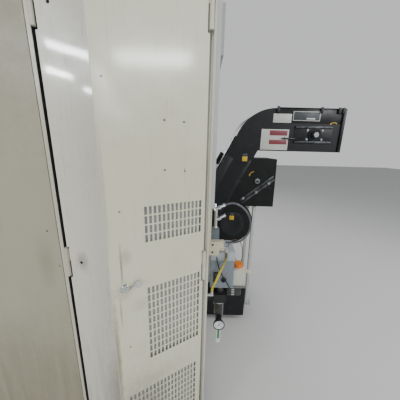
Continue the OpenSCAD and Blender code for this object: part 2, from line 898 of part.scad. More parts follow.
module spindle_head() {
    z0 = spindle_head_z;
    color("#c9cdc6")
        difference() {
            union() {
                translate([spindle_x - 150, 0, 0])
                    rotate([90, 0, 90])
                        linear_extrude(300)
                            polygon([
                                [spindle_y - 150, z0 + 40], [spindle_y - 110, z0], [spindle_y + 120, z0],
                                [285, z0 + 60], [285, z0 + 660], [spindle_y + 140, z0 + 660],
                                [spindle_y + 140, z0 + 600], [spindle_y - 150, z0 + 600]
                            ]);
                between([spindle_x - 245, 240, z0 + 40], [spindle_x + 245, 286, z0 + 640]);
                between([spindle_x - 27, 280, z0 + 200], [spindle_x + 27, screw_z_y, z0 + 320]);
                rod_z([spindle_x, screw_z_y, z0 + 200], 54, 120);
            }
            rod_z([spindle_x, screw_z_y, z0 + 199], screw_d + 2 * run_clear, 122);
            rod_z([spindle_x, spindle_y, z0 - 1], 150 + 2 * run_clear, 600);
        }
    color(steel)
        for (x = rail_z_x, z = [z0 + 110, z0 + 560])
            translate([x, column_face, z])
                rotate([0, -90, 90])
                    truck(120);
}

module spindle() {
    color(steel)
        translate([spindle_x, spindle_y, nose_z])
            rotate_extrude()
                polygon([
                    [22.5, 0], [62, 0], [64, 2], [64, 40], [75, 60], [75, 560], [26, 560],
                    [26, 70], [12.5, 68]
                ]);
}

module spindle_motor() {
    z0 = spindle_head_z + 600;
    color(black) {
        difference() {
            between([spindle_x - 120, spindle_y - 120, z0], [spindle_x + 120, spindle_y + 120, z0 + 380]);
            for (s = [-1, 1], i = [0:6])
                translate([spindle_x + s * 120 - 6, spindle_y - 90 + i * 27, z0 + 30])
                    cube([12, 12, 300]);
        }
        translate([spindle_x, spindle_y, z0 + 380])
            cylinder(d = 200, h = 40);
    }
}

// A ball screw of total length l from the origin along Z with stepped journals.
module screw(l, journal_d, journal_l) {
    cylinder(d = journal_d, h = l);
    translate([0, 0, journal_l])
        cylinder(d = screw_d, h = l - 2 * journal_l);
}

module ball_screw_x() {
    color(steel)
        translate([spindle_x - 459, spindle_y, screw_x_z])
            rotate([0, 90, 0])
                screw(918, 20, 38);
}

module ball_screw_y() {
    color(steel)
        translate([spindle_x, bed_front + 2, screw_y_z])
            rotate([-90, 0, 0])
                screw(1318, 20, 62);
}

module ball_screw_z() {
    color(steel)
        translate([spindle_x, screw_z_y, screw_z_base])
            screw(column_top - 5 - screw_z_base, 25, 56);
}

module servo_motors() {
    color(black) {
        between([spindle_x - 65, bed_front - 190, screw_y_z - 65], [spindle_x + 65, bed_front, screw_y_z + 65]);
        between([spindle_x - 65, screw_z_y - 15, column_top], [spindle_x + 65, screw_z_y + 115, column_top + 200]);
    }
}

carousel_z = nose_z - 20;
carousel_x = spindle_x - pocket_r - changer_stroke;
changer_beam_y = 60;

module tool_carriage() {
    color("#c9cdc6") {
        between([carousel_x - 110, spindle_y - 90, carousel_z + 150], [carousel_x + 110, spindle_y + 90, carousel_z + 330]);
        rod_z([carousel_x, spindle_y, carousel_z + 22], 90, 130);
        between([carousel_x - 60, spindle_y + 88, carousel_z + 180], [carousel_x + 60, changer_beam_y - 40, carousel_z + 230]);
        between(
            [carousel_x - 110, changer_beam_y - 41, carousel_z + 160],
            [carousel_x + 110, changer_beam_y - 0.3, carousel_z + 290]
        );
    }
}

module tool_carousel() {
    color("#b9bdc0")
        translate([carousel_x, spindle_y, carousel_z]) {
            difference() {
                cylinder(d = 2 * pocket_r - 70, h = 10);
                for (a = [0:60:300])
                    rotate([0, 0, a])
                        translate([170, 0, -1])
                            cylinder(d = 80, h = 12);
            }
            translate([0, 0, 10])
                cylinder(d = 120, h = 11.7);
            for (k = [0:pockets - 1])
                rotate([0, 0, k * 360 / pockets])
                    translate([pocket_r, 0, 1])
                        difference() {
                            union() {
                                translate([-48, -30, 0])
                                    cube([48, 60, 6]);
                                cylinder(d = 60, h = 6);
                            }
                            translate([0, 0, -1])
                                cylinder(d = 54.6, h = 8);
                            translate([8, -40, -1])
                                cube([50, 80, 8]);
                        }
        }
}

module tool_holders() {
    color(steel)
        translate([carousel_x, spindle_y, carousel_z + 4])
            for (k = [1:pockets - 1])
                rotate([0, 0, k * 360 / pockets])
                    translate([pocket_r, 0, 0])
                        rotate_extrude()
                            polygon([
                                [0, -120], [8, -120], [8, -70], [20, -66], [22, -20], [flange_d / 2, -14],
                                [flange_d / 2, -4], [27, -4], [27, 4], [flange_d / 2, 4],
                                [flange_d / 2, 11], [22, 11], [12, 76], [8, 82], [8, 92], [0, 92]
                            ]);
}

wall_fold = 25;          // depth of the side walls' folded edges

module enclosure_panels() {
    x1 = enclosure_x;
    x2 = enclosure_x2;
    y1 = enclosure_front_y;
    y2 = enclosure_rear_y;
    t = sheet + 0.5;
    top = enclosure_top - panel_gap;
    column_side = bed_w / 2 + 5;
    roof_side = column_w / 2 + 10;
    color(black)
        for (x = [x1 + 2, x2 - wall_fold + 2], y = [y1 + front_t + 40, spindle_y - 360, y2 - 140])
            between([x, y, 0], [x + wall_fold - 4, y + 90, 60]);
    color(cream) {
        difference() {
            between([x1, y1 + front_t, 60], [x1 + wall_fold, y2, top]);
            between([x1 + t, y1 + front_t + t, 60 + t], [x1 + wall_fold + 1, y2 - t, top - t]);
            between([x1 - 1, conveyor_rear - conveyor_w - 15, 59], [x1 + wall_fold + 1, conveyor_rear + 15, 400]);
        }
        difference() {
            between([x2 - wall_fold, y1 + front_t, 60], [x2, y2, top]);
            between([x2 - wall_fold - 1, y1 + front_t + t, 60 + t], [x2 - t, y2 - t, top - t]);
        }
        between([x1 + wall_fold + panel_gap, y2 - 30, 60], [spindle_x - column_side, y2, top]);
        between([spindle_x + column_side, y2 - 30, 60], [x2 - wall_fold - panel_gap, y2, top]);
        between([x1, y1 + front_t, enclosure_top], [spindle_x - roof_side - panel_gap, y2, enclosure_top + 25]);
        between([spindle_x + roof_side + panel_gap, y1 + front_t, enclosure_top], [x2, y2, enclosure_top + 25]);
        between([spindle_x - roof_side, y1 + front_t, enclosure_top], [spindle_x + roof_side, spindle_y - 330, enclosure_top + 25]);
    }
}

module enclosure_front() {
    x1 = enclosure_x;
    x2 = enclosure_x2;
    y = enclosure_front_y;
    color(cream) {
        between([x1, y, 60], [opening_x - panel_gap, y + front_t, enclosure_top]);
        between([opening_x2 + panel_gap, y, 60], [x2, y + front_t, enclosure_top]);
        between([opening_x, y, front_lintel], [opening_x2, y + front_t, enclosure_top]);
        between([opening_x, y, 60], [opening_x2, y + front_t, front_sill]);
    }
    color(steel)
        for (z = [door_z1 - guide_gap - 10, door_z2 + guide_gap])
            between([x1 + 20, y - 38, z], [x2 - 20, y, z + 10]);
}

module chip_pans() {
    side_x = [[enclosure_x + wall_fold, spindle_x - bed_w / 2], [spindle_x + bed_w / 2, enclosure_x2 - wall_fold]];
    color(steel)
        for (s = side_x)
            translate([s[0], 0, 0])
                rotate([90, 0, 90])
                    linear_extrude(s[1] - s[0]) {
                        polygon([
                            [enclosure_front_y + front_t, 640], [conveyor_rear - conveyor_w + 6, 380],
                            [conveyor_rear - conveyor_w + 6, 384], [enclosure_front_y + front_t, 644]
                        ]);
                        polygon([
                            [enclosure_rear_y - 30, 560], [conveyor_rear - 6, 380],
                            [conveyor_rear - 6, 384], [enclosure_rear_y - 30, 564]
                        ]);
                    }
}

door_w = front_opening_w / 2 + 45;
door_y = enclosure_front_y - 34;
door_z1 = front_sill - 48;
door_z2 = front_lintel + 48;

module sliding_door(x1, handle_x) {
    color(cream)
        difference() {
            between([x1, door_y, door_z1], [x1 + door_w - 1, door_y + 30, door_z2]);
            between([x1 + 3, door_y + 3, door_z1 + 3], [x1 + door_w - 4, door_y + 31, door_z2 - 3]);
            between([x1 + 110, door_y - 1, door_z1 + 150], [x1 + door_w - 110, door_y + 5, door_z2 - 150]);
        }
    color(black) {
        for (z = [door_z1 + 300, door_z2 - 320])
            rod_y([handle_x, door_y - 40, z], 16, 40);
        between([handle_x - 11, door_y - 58, door_z1 + 270], [handle_x + 11, door_y - 40, door_z2 - 290]);
    }
}

module front_door_left() {
    sliding_door(spindle_x - door_w, spindle_x - 55);
}

module front_door_right() {
    sliding_door(spindle_x + 1, spindle_x + 55);
}

module window(x1) {
    color("#9fb3b8")
        between([x1 + 95, door_y + 3, door_z1 + 135], [x1 + door_w - 95, door_y + 11, door_z2 - 135]);
}

module window_left() {
    window(spindle_x - door_w);
}

module window_right() {
    window(spindle_x + 1);
}

pendant_x = enclosure_x2 - 60;
pendant_y = enclosure_front_y - 95;
pendant_top = 1680;
pendant_arm_z = front_lintel + 75;

module pendant_arm() {
    color("#c9cdc6") {
        rod_z([pendant_x, pendant_y, pendant_top + 0.3], 60, pendant_arm_z - pendant_top + 50);
        between([pendant_x - 30, pendant_y, pendant_arm_z], [pendant_x + 30, enclosure_front_y, pendant_arm_z + 50]);
    }
}

module pendant_box() {
    color("#c9cdc6")
        difference() {
            translate([pendant_x, pendant_y, 0])
                rotate([90, 0, -90])
                    translate([0, 0, -30])
                        linear_extrude(pendant_w)
                            polygon([
                                [-50, 1080], [60, 1080], [60, pendant_top], [-50, pendant_top]
                            ]);
            between([pendant_x + 60 - pendant_w, pendant_y - 61, 1360], [pendant_x, pendant_y - 52, 1640]);
            rod_y([pendant_x - 60, pendant_y - 70, 1200], 10 + 2 * run_clear, 60);
            rod_y([pendant_x - pendant_w + 90, pendant_y - 70, 1170], 16 + 2 * run_clear, 60);
        }
}

module emergency_stop() {
    color("#c4281f") {
        rod_y([pendant_x - pendant_w + 90, pendant_y - 72, 1170], 16, 50);
        rod_y([pendant_x - pendant_w + 90, pendant_y - 90, 1170], 40, 20);
    }
}

module jog_wheel() {
    color(black) {
        rod_y([pendant_x - 60, pendant_y - 70, 1200], 10, 40);
        rod_y([pendant_x - 60, pendant_y - 78, 1200], 80, 17.7);
        rod_y([pendant_x - 36, pendant_y - 98, 1200], 14, 21);
    }
}

module coolant_tank() {
    x1 = enclosure_x - 860;
    x2 = enclosure_x - 25;
    color("#33373b") {
        difference() {
            between([x1, conveyor_rear - conveyor_w - 180, 45], [x2, conveyor_rear + 180, 330]);
            between([x1 + 4, conveyor_rear - conveyor_w - 176, 49], [x2 - 4, conveyor_rear + 176, 331]);
            between([x2 - 5, conveyor_rear - conveyor_w - 10, 100], [x2 + 1, conveyor_rear + 10, 331]);
        }
        for (x = [x1 + 80, x2 - 80], y = [conveyor_rear - conveyor_w - 120, conveyor_rear + 120])
            rod_x([x - 15, y, 22.5], 45, 30);
        for (y = [conveyor_rear - conveyor_w + 30, conveyor_rear - 60])
            between([x2 - 160, y, 49], [x2 - 10, y + 30, trough_base]);
    }
    color("#4d6b8a")
        translate([x1 + 130, conveyor_rear + 90, 49]) {
            cylinder(d = 120, h = 330);
            translate([0, 0, 330])
                cylinder(d = 150, h = 180);
        }
}

climb_dx = 1 / tan(climb_angle);
climb_side = climb_t / sin(climb_angle);
climb_u0 = 562 - 1396 * climb_dx;         // where the upper line of the climb meets the floor

function climb_u(z, off) = climb_u0 + z * climb_dx + off / sin(climb_angle);

// Side outline of the conveyor in (u, z), u measured away from the enclosure,
// drawn inside the outer skin by off.
function conveyor_outline(off, tail) =
    let (
        top = head_top - off,
        under = head_top - head_h + off,
        corner_u = climb_u(top, off),
        r = bend_r - off,
        reach = r * tan(climb_angle / 2)
    )
    concat(
        [[tail + off, trough_base + off], [climb_u(trough_base + off, climb_t - off), trough_base + off]],
        [[climb_u(under, climb_t - off), under], [head_reach - off, under], [head_reach - off, top]],
        [
            for (i = [0:10])
                let (a = climb_angle * i / 10)
                [corner_u + reach - r * sin(a), top - r + r * cos(a)]
        ],
        [[climb_u(trough_top - off, off), trough_top - off], [tail + off, trough_top - off]]
    );

conveyor_tail = enclosure_x - enclosure_x2 + 120;

module conveyor_body() {
    color(dark_frame)
        difference() {
            between(
                [enclosure_x - 4, conveyor_rear - conveyor_w - 45, trough_base - 30],
                [enclosure_x, conveyor_rear + 45, 440]
            );
            between(
                [enclosure_x - 5, conveyor_rear - conveyor_w, trough_base],
                [enclosure_x + 1, conveyor_rear, trough_top]
            );
        }
    color(dark_frame)
        translate([enclosure_x, conveyor_rear, 0])
            rotate([90, 0, 0])
                mirror([1, 0, 0])
                    difference() {
                        linear_extrude(conveyor_w)
                            polygon(conveyor_outline(0, conveyor_tail));
                        translate([0, 0, 3])
                            linear_extrude(conveyor_w - 6)
                                polygon(conveyor_outline(3, conveyor_tail));
                        translate([conveyor_tail + 3, trough_top - 10, 3])
                            cube([-conveyor_tail - 60, 20, conveyor_w - 6]);
                        translate([head_reach - 300, head_top - head_h - 1, 20])
                            cube([240, 6, conveyor_w - 40]);
                        translate([head_shaft_u, head_shaft_z, -1])
                            cylinder(d = head_shaft_d + 2 * run_clear, h = conveyor_w + 2);
                    }
}

head_shaft_u = 1373;
head_shaft_z = 1724;
sprocket_r = 92;
belt_pin_d = 10;

function arc_points(c, r, a0, a1, n) = [for (i = [0:n]) c + r * [cos(a0 + (a1 - a0) * i / n), sin(a0 + (a1 - a0) * i / n)]];

// The belt's loop in (u, z): carrying run up the climb, round the head, and back.
tail_r = 62;
tail_c = [conveyor_tail + 110, (trough_base + trough_top) / 2];
function run_points(off, z_low, z_high) = [
    [climb_u(z_low, off) - 60, z_low],
    [climb_u(z_low + 60, off), z_low + 60],
    [climb_u(z_high - 60, off), z_high - 60],
    [climb_u(z_high, off) + 70, z_high]
];
belt_loop = concat(
    run_points(climb_t / 2 - tail_r, tail_c[1] + tail_r, head_shaft_z + sprocket_r),
    arc_points([head_shaft_u, head_shaft_z], sprocket_r, 90, -90, 12),
    [
        for (i = [3:-1:0])
            run_points(climb_t / 2 + tail_r, tail_c[1] - tail_r, head_shaft_z - sprocket_r)[i]
    ],
    arc_points(tail_c, tail_r, 270, 90, 12),
    [run_points(climb_t / 2 - tail_r, tail_c[1] + tail_r, head_shaft_z + sprocket_r)[0]]
);
function path_lengths(p, i = 0, s = 0) =
    i >= len(p) - 1 ? [s] : concat([s], path_lengths(p, i + 1, s + norm(p[i + 1] - p[i])));
belt_s = path_lengths(belt_loop);
belt_u_table = [for (i = [0:len(belt_loop) - 1]) [belt_s[i], belt_loop[i][0]]];
belt_z_table = [for (i = [0:len(belt_loop) - 1]) [belt_s[i], belt_loop[i][1]]];
belt_length = belt_s[len(belt_s) - 1];
belt_plates = floor(belt_length / belt_pitch);
function belt_at(s) = let (m = (s + belt_length) % belt_length) [lookup(m, belt_u_table), lookup(m, belt_z_table)];

module conveyor_belt() {
    step = belt_length / belt_plates;
    w = conveyor_w - 24;
    color(steel)
        translate([enclosure_x, conveyor_rear - 12, 0])
            rotate([90, 0, 0])
                mirror([1, 0, 0])
                    for (k = [0:belt_plates - 1]) {
                        a = belt_at(k * step);
                        b = belt_at((k + 1) * step);
                        l = norm(b - a) - belt_pin_d - 0.6;
                        m = (a + b) / 2;
                        translate([a[0], a[1], 0])
                            cylinder(d = belt_pin_d, h = w);
                        translate([m[0], m[1], 0])
                            rotate([0, 0, atan2(b[1] - a[1], b[0] - a[0])]) {
                                translate([-l / 2, -2, 0])
                                    cube([l, 4, w]);
                                if (k % 6 == 0)
                                    translate([-2, 1, 10])
                                        cube([4, 30, w - 20]);
                            }
                    }
}

module conveyor_shaft() {
    color(steel)
        translate([enclosure_x - head_shaft_u, conveyor_rear + 40, head_shaft_z])
            rotate([90, 0, 0]) {
                cylinder(d = head_shaft_d, h = conveyor_w + 120);
                for (z = [70, conveyor_w - 10])
                    translate([0, 0, z])
                        difference() {
                            cylinder(r = sprocket_r - 8.3, h = 18);
                            for (a = [0:60:300])
                                rotate([0, 0, a])
                                    translate([52, 0, -1])
                                        cylinder(d = 30, h = 20);
                        }
            }
}

// A point on the conveyor's rear side plate, from (u, z).
function plate_point(u, z) = [enclosure_x - u, conveyor_rear, z];

guard_outline = [
    [climb_u(1515, climb_t) + panel_gap, 1515], [1085, 1515], [1092, 1085], [climb_u(1085, climb_t) + panel_gap, 1085]
];
round_u = 705;
round_z = 925;
round_r = 208;
guard_shaft = [926, 1320];

module conveyor_guards() {
    color(dark_frame)
        translate([enclosure_x, conveyor_rear, 0])
            rotate([90, 0, 0])
                mirror([1, 0, 0]) {
                    difference() {
                        linear_extrude(conveyor_w)
                            polygon(guard_outline);
                        translate([guard_shaft[0], guard_shaft[1], -1])
                            cylinder(d = 30, h = 20);
                    }
                    difference() {
                        translate([round_u, round_z, 0])
                            cylinder(r = round_r, h = conveyor_w);
                        translate([0, 0, -1])
                            linear_extrude(conveyor_w + 2)
                                polygon([
                                    [climb_u(500, climb_t) + panel_gap, 500],
                                    [climb_u(1084, climb_t) + panel_gap, 1084], [1000, 1084],
                                    [1000, 1400], [0, 1400], [0, 500]
                                ]);
                    }
                }
    color("#3a3d40")
        translate(plate_point(head_shaft_u, head_shaft_z))
            rotate([-90, 0, 0])
                difference() {
                    union() {
                        cylinder(d = 104, h = 14);
                        cylinder(d = 66, h = 26);
                    }
                    translate([0, 0, -1])
                        cylinder(d = head_shaft_d + 2 * run_clear, h = 30);
                }
}

module conveyor_motor() {
    front = conveyor_rear - conveyor_w;
    color("#4d6b8a") {
        difference() {
            between(
                [enclosure_x - head_shaft_u - 80, front - 110, head_shaft_z - 80],
                [enclosure_x - head_shaft_u + 80, front, head_shaft_z + 80]
            );
            rod_y([enclosure_x - head_shaft_u, front - 82, head_shaft_z], head_shaft_d + 2 * run_clear, 90);
        }
        rod_x([enclosure_x - head_shaft_u + 80, front - 67, head_shaft_z], 130, 240);
    }
}

tower_x = enclosure_x2 - 200;

module signal_tower() {
    color(black)
        rod_z([tower_x, enclosure_front_y + 150, enclosure_top + 25], 24, 140);
    for (i = [0:2])
        color(["#3e9b4a", "#e0a52a", "#c4281f"][i])
            rod_z([tower_x, enclosure_front_y + 150, enclosure_top + 165 + i * 62], 60, 60);
    color(black)
        for (i = [0:3])
            rod_z([tower_x, enclosure_front_y + 150, enclosure_top + 163 + i * 62], 64, 2);
}

cabinet_shell();
cabinet_hinges();
side_cover();
mounting_plate();
drive_units();
grille_door();
grille_door_hinges();
grille_baffles();
lock_bezel();
lock_plug();
keyhole_cover();
left_leaf();
leaf_hinges();
solid_door();
solid_door_hinges();
disconnect_handle();
air_junction();
air_fittings();
air_hose();
frl_unit();
frl_bowls();
regulator_knob();
lube_pump();
lube_reservoir();
lube_cap();
yellow_hose();
bed();
levelling_feet();
column();
fixed_rails();
saddle();
table();
spindle_head();
spindle();
spindle_motor();
ball_screw_x();
ball_screw_y();
ball_screw_z();
servo_motors();
tool_carriage();
tool_carousel();
tool_holders();
enclosure_panels();
enclosure_front();
chip_pans();
front_door_left();
front_door_right();
window_left();
window_right();
pendant_arm();
pendant_box();
emergency_stop();
jog_wheel();
coolant_tank();
conveyor_body();
conveyor_belt();
conveyor_shaft();
conveyor_guards();
conveyor_motor();
signal_tower();
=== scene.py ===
import math

import bmesh
import bpy
from mathutils import Matrix, Vector


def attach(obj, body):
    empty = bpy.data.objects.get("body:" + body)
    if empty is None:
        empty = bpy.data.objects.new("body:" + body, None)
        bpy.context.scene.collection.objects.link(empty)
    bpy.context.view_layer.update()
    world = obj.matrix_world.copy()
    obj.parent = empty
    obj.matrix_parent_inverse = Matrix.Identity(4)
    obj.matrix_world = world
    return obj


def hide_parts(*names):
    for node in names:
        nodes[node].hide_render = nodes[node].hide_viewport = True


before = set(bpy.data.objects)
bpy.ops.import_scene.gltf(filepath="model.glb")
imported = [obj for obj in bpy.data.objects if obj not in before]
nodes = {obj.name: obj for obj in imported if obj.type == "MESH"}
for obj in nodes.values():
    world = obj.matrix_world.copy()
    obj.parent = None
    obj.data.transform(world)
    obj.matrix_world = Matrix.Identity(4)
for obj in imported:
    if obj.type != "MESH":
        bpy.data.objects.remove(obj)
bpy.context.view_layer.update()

scene = bpy.context.scene

# The camera stands a stride behind the control cabinet at eye height and looks along the
# machine's flank, a little downwards, as the photograph does.
eye = bpy.data.objects.new("eye", bpy.data.cameras.new("eye"))
scene.collection.objects.link(eye)
scene.camera = eye
eye.data.sensor_width = 36
eye.data.lens = 18.72
eye.data.clip_start = 0.02
eye_place = Vector((-0.71, 2.03, 1.6))
eye_pitch = math.radians(-14.2)
eye_roll = math.radians(1.4)
eye.matrix_world = (
    Matrix.Translation(eye_place)
    @ Matrix.Rotation(math.pi, 4, "Z")
    @ Matrix.Rotation(math.pi / 2 + eye_pitch, 4, "X")
    @ Matrix.Rotation(eye_roll, 4, "Z")
)


# The air hose is a 10 mm polyurethane tube that arcs from the chrome fitting down to the
# cream socket; the yellow hose drops from the same socket into the cabinet's side wall.
def linear(hex_colour):
    """sRGB hex to the linear colour that a shader socket takes."""
    parts = [int(hex_colour[i:i + 2], 16) / 255 for i in (1, 3, 5)]
    curve = (c / 12.92 if c <= 0.04045 else ((c + 0.055) / 1.055) ** 2.4 for c in parts)
    return (*curve, 1.0)


def add(tree, kind, values=None, links=None, **settings):
    """Adds one shader node with its settings, socket values and incoming links."""
    n = tree.nodes.new(kind)
    for key, value in settings.items():
        setattr(n, key, value)
    for key, value in (values or {}).items():
        n.inputs[key].default_value = value
    for key, source in (links or {}).items():
        tree.links.new(source, n.inputs[key])
    return n


def ramp(tree, source, stops):
    """A colour ramp over source with (position, colour) stops."""
    n = add(tree, "ShaderNodeValToRGB", links={"Fac": source})
    while len(n.color_ramp.elements) < len(stops):
        n.color_ramp.elements.new(0.5)
    for element, (place, colour) in zip(n.color_ramp.elements, stops):
        element.position = place
        element.color = colour
    return n.outputs["Color"]


def grey(value):
    return (value, value, value, 1)


def new_material(name, **fixed):
    """A material with a Principled shader; fixed values go on the shader's own sockets."""
    material = bpy.data.materials.new(name)
    material.use_nodes = True
    tree = material.node_tree
    shader = tree.nodes["Principled BSDF"]
    for key, value in fixed.items():
        shader.inputs[key.replace("_", " ")].default_value = value
    place = add(tree, "ShaderNodeTexCoord").outputs["Object"]
    return material, tree, shader, place


def stretched(tree, place, scale, turn=(0, 0, 0)):
    """Object coordinates stretched for brushed or run-down patterns."""
    moved = add(tree, "ShaderNodeMapping", {"Scale": scale, "Rotation": turn}, {"Vector": place})
    return moved.outputs["Vector"]


def noise(tree, vector, scale, detail=4.0, rough=0.55):
    """A noise texture; its scale is in features per metre, so 100 gives features of 10 mm."""
    values = {"Scale": scale, "Detail": detail, "Roughness": rough}
    return add(tree, "ShaderNodeTexNoise", values, {"Vector": vector}).outputs["Fac"]


def feed(tree, socket, value):
    """Gives an input a plain value or the output of another node."""
    if isinstance(value, bpy.types.NodeSocket):
        tree.links.new(value, socket)
    else:
        socket.default_value = value


def mixed(tree, factor, a, b):
    """Mixes two colours; each is a colour or a socket, and factor is a number or a socket."""
    n = tree.nodes.new("ShaderNodeMix")
    n.data_type = "RGBA"
    for i, value in ((0, factor), (6, a), (7, b)):
        feed(tree, n.inputs[i], value)
    return n.outputs[2]


def sum_of(tree, a, b, kind="ADD", clamp=False):
    """A Math node on two numbers or sockets."""
    n = add(tree, "ShaderNodeMath", operation=kind, use_clamp=clamp)
    feed(tree, n.inputs[0], a)
    feed(tree, n.inputs[1], b)
    return n.outputs[0]


def coloured(tree, shader, colour, roughness):
    """Links a pattern's colour and roughness to the shader."""
    tree.links.new(colour, shader.inputs["Base Color"])
    tree.links.new(roughness, shader.inputs["Roughness"])


def bump(tree, shader, height, strength, distance):
    values = {"Strength": strength, "Distance": distance}
    n = add(tree, "ShaderNodeBump", values, {"Height": height})
    tree.links.new(n.outputs["Normal"], shader.inputs["Normal"])


def height_of(tree, vector):
    """The Z of a vector socket."""
    return add(tree, "ShaderNodeSeparateXYZ", links={"Vector": vector}).outputs["Z"]


def facing_up(tree):
    """How far the surface looks up, from -1 to 1."""
    return height_of(tree, add(tree, "ShaderNodeNewGeometry").outputs["Normal"])


def hose_rubber(name, top_hex, low_hex, z_top, z_low, rough):
    """Extruded polyurethane: a soft sheen, dust along it, and a tint that changes with height."""
    material, tree, shader, place = new_material(name, Roughness=rough, IOR=1.5, Coat_Weight=0.25)
    reach = {"From Min": z_low, "From Max": z_top}
    share = add(tree, "ShaderNodeMapRange", reach, {"Value": height_of(tree, place)})
    tint = mixed(tree, share.outputs["Result"], linear(low_hex), linear(top_hex))
    dust = ramp(tree, noise(tree, place, 60, 6), [(0.5, grey(0)), (0.78, grey(0.35))])
    tree.links.new(mixed(tree, dust, tint, linear("#6f6a5c")), shader.inputs["Base Color"])
    bump(tree, shader, noise(tree, place, 400, 2), 0.15, 0.0004)
    return material


def smooth_route(points, steps):
    """The same smooth curve through a given route as the solid hoses follow."""
    points = [Vector(p) for p in points]
    last = len(points) - 1
    out = []
    for i in range(last):
        p0, p1, p2, p3 = points[max(i - 1, 0)], points[i], points[i + 1], points[min(i + 2, last)]
        for s in range(steps):
            t = s / steps
            out.append(
                0.5 * (2 * p1 + (p2 - p0) * t + (2 * p0 - 5 * p1 + 4 * p2 - p3) * t * t
                       + (3 * p1 - p0 - 3 * p2 + p3) * t ** 3)
            )
    return out + [points[-1]]


def laid_hose(name, route_mm, diameter, material, node=None, steps=3):
    """A hose as a round curve through the route."""
    path = smooth_route([Vector(p) / 1000 for p in route_mm], steps)
    curve = bpy.data.curves.new(name, "CURVE")
    curve.dimensions = "3D"
    curve.bevel_depth = diameter / 2
    curve.bevel_resolution = 4
    curve.use_fill_caps = True
    spline = curve.splines.new("POLY")
    spline.points.add(len(path) - 1)
    for point, place in zip(spline.points, path):
        point.co = (*place, 1)
    spline.use_smooth = True
    curve.materials.append(material)
    hose = bpy.data.objects.new(name, curve)
    scene.collection.objects.link(hose)
    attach(hose, "machine")
    if node:
        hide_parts(node)


air_tube = hose_rubber("polyurethane air tube", "#54555e", "#4a4a52", 1.35, 1.14, 0.3)
yellow_tube = hose_rubber("yellow oil hose", "#5f5d3c", "#e0cc2a", 1.075, 0.985, 0.3)
air_hose_route = [
    (-832.1, 1070, 1334.6), (-856, 1070, 1344), (-884, 1069, 1342), (-912, 1067, 1327),
    (-937, 1065, 1303), (-955, 1063, 1272), (-963, 1062, 1238), (-960, 1063, 1205),
    (-945, 1065, 1174), (-921, 1068, 1152), (-892, 1071, 1143), (-866, 1072, 1142),
    (-842.3, 1072, 1142),
]
yellow_hose_route = [
    (-849, 1088, 1097.5), (-849, 1090, 1075), (-844, 1097, 1052), (-833, 1106, 1030),
    (-820, 1114, 1006), (-809, 1119, 980), (-800, 1119, 952), (-792, 1113, 928),
    (-785, 1106, 905), (-783, 1104, 884.5),
]
laid_hose("air_tube", air_hose_route, 0.01, air_tube, node="air_hose")
laid_hose("oil_hose", yellow_hose_route, 0.012, yellow_tube, node="yellow_hose")


# The stage is a pale studio. Six long ceiling lamps hang where a shop's tubes would be, so
# that each leaves its own streak in the gloss paint of the two open doors.
bpy.ops.mesh.primitive_plane_add(size=40, location=(0, 0, -0.0005))
floor = bpy.context.object
floor.name = "studio_floor"
floor_look = {"Roughness": 0.75, "Specular_IOR_Level": 0.2}
floor_paint, _, floor_shader, _ = new_material("pale floor", **floor_look)
floor_shader.inputs["Base Color"].default_value = linear("#cfcfcc")
floor.data.materials.append(floor_paint)
world = bpy.data.worlds.new("studio")
scene.world = world
world.use_nodes = True
sky = world.node_tree
sky.nodes.clear()
rays = add(sky, "ShaderNodeLightPath")
seen = sum_of(sky, rays.outputs["Is Camera Ray"], rays.outputs["Is Transmission Ray"], "MAXIMUM")
soft = add(sky, "ShaderNodeBackground", {"Color": linear("#eceef2"), "Strength": 0.5})
pale = add(sky, "ShaderNodeBackground", {"Color": linear("#dfe0e0"), "Strength": 0.9})
both = add(sky, "ShaderNodeMixShader", links={0: seen, 1: soft.outputs[0], 2: pale.outputs[0]})
add(sky, "ShaderNodeOutputWorld", links={"Surface": both.outputs[0]})


def lamp(name, place, aim, size, power, colour="#ffffff"):
    data = bpy.data.lights.new(name, "AREA")
    data.shape = "RECTANGLE"
    data.size, data.size_y = size
    data.energy = power
    data.color = linear(colour)[:3]
    light = bpy.data.objects.new(name, data)
    scene.collection.objects.link(light)
    light.location = place
    light.rotation_euler = (Vector(aim) - Vector(place)).to_track_quat("-Z", "Y").to_euler()
    light.visible_camera = False
    return light


doors_middle = Vector((-0.45, 1.35, 1.8))
ceiling = 4.3


def tube_lamp(name, start, end, width, power):
    """A tube lamp under the ceiling from start to end that faces the cabinet's doors."""
    start, end = Vector((*start, ceiling)), Vector((*end, ceiling))
    size = ((end - start).length, width)
    light = lamp(name, (start + end) / 2, doors_middle, size, power, "#f7faff")
    along = (end - start).normalized()
    facing = (light.location - doors_middle).normalized()
    across = facing.cross(along).normalized()
    turn = Matrix((along, across, along.cross(across))).transposed()
    light.rotation_euler = turn.to_euler()


tubes = (
    ((-5.17, 6.94), (-6.4, 4.92), 0.26, 145), ((-5.38, 8.24), (-8.47, 11.6), 0.3, 150),
    ((-9.28, 13.6), (-15.0, 17.5), 0.3, 150), ((4.61, 6.31), (3.98, 7.31), 0.16, 60),
    ((6.45, 8.09), (6.17, 9.03), 0.16, 60), ((7.01, 10.8), (6.95, 11.4), 0.18, 40),
)
for i, (start, end, width, power) in enumerate(tubes, 1):
    tube_lamp(f"tube_{i}", start, end, width, power)
lamp("over_machine", (0.5, 0.3, 5.2), (0.3, 0.2, 0), (4.5, 3.0), 95)
lamp("flank_fill", (-4.6, 1.4, 2.8), (-0.9, 0.3, 1.1), (2.4, 2.0), 46)
lamp("front_fill", (1.4, -5.2, 3.0), (0.6, -0.6, 1.1), (3.6, 2.4), 110)
lamp("rear_fill", (0.6, 6.4, 3.4), (-0.2, 1.2, 1.3), (3.0, 2.0), 70)


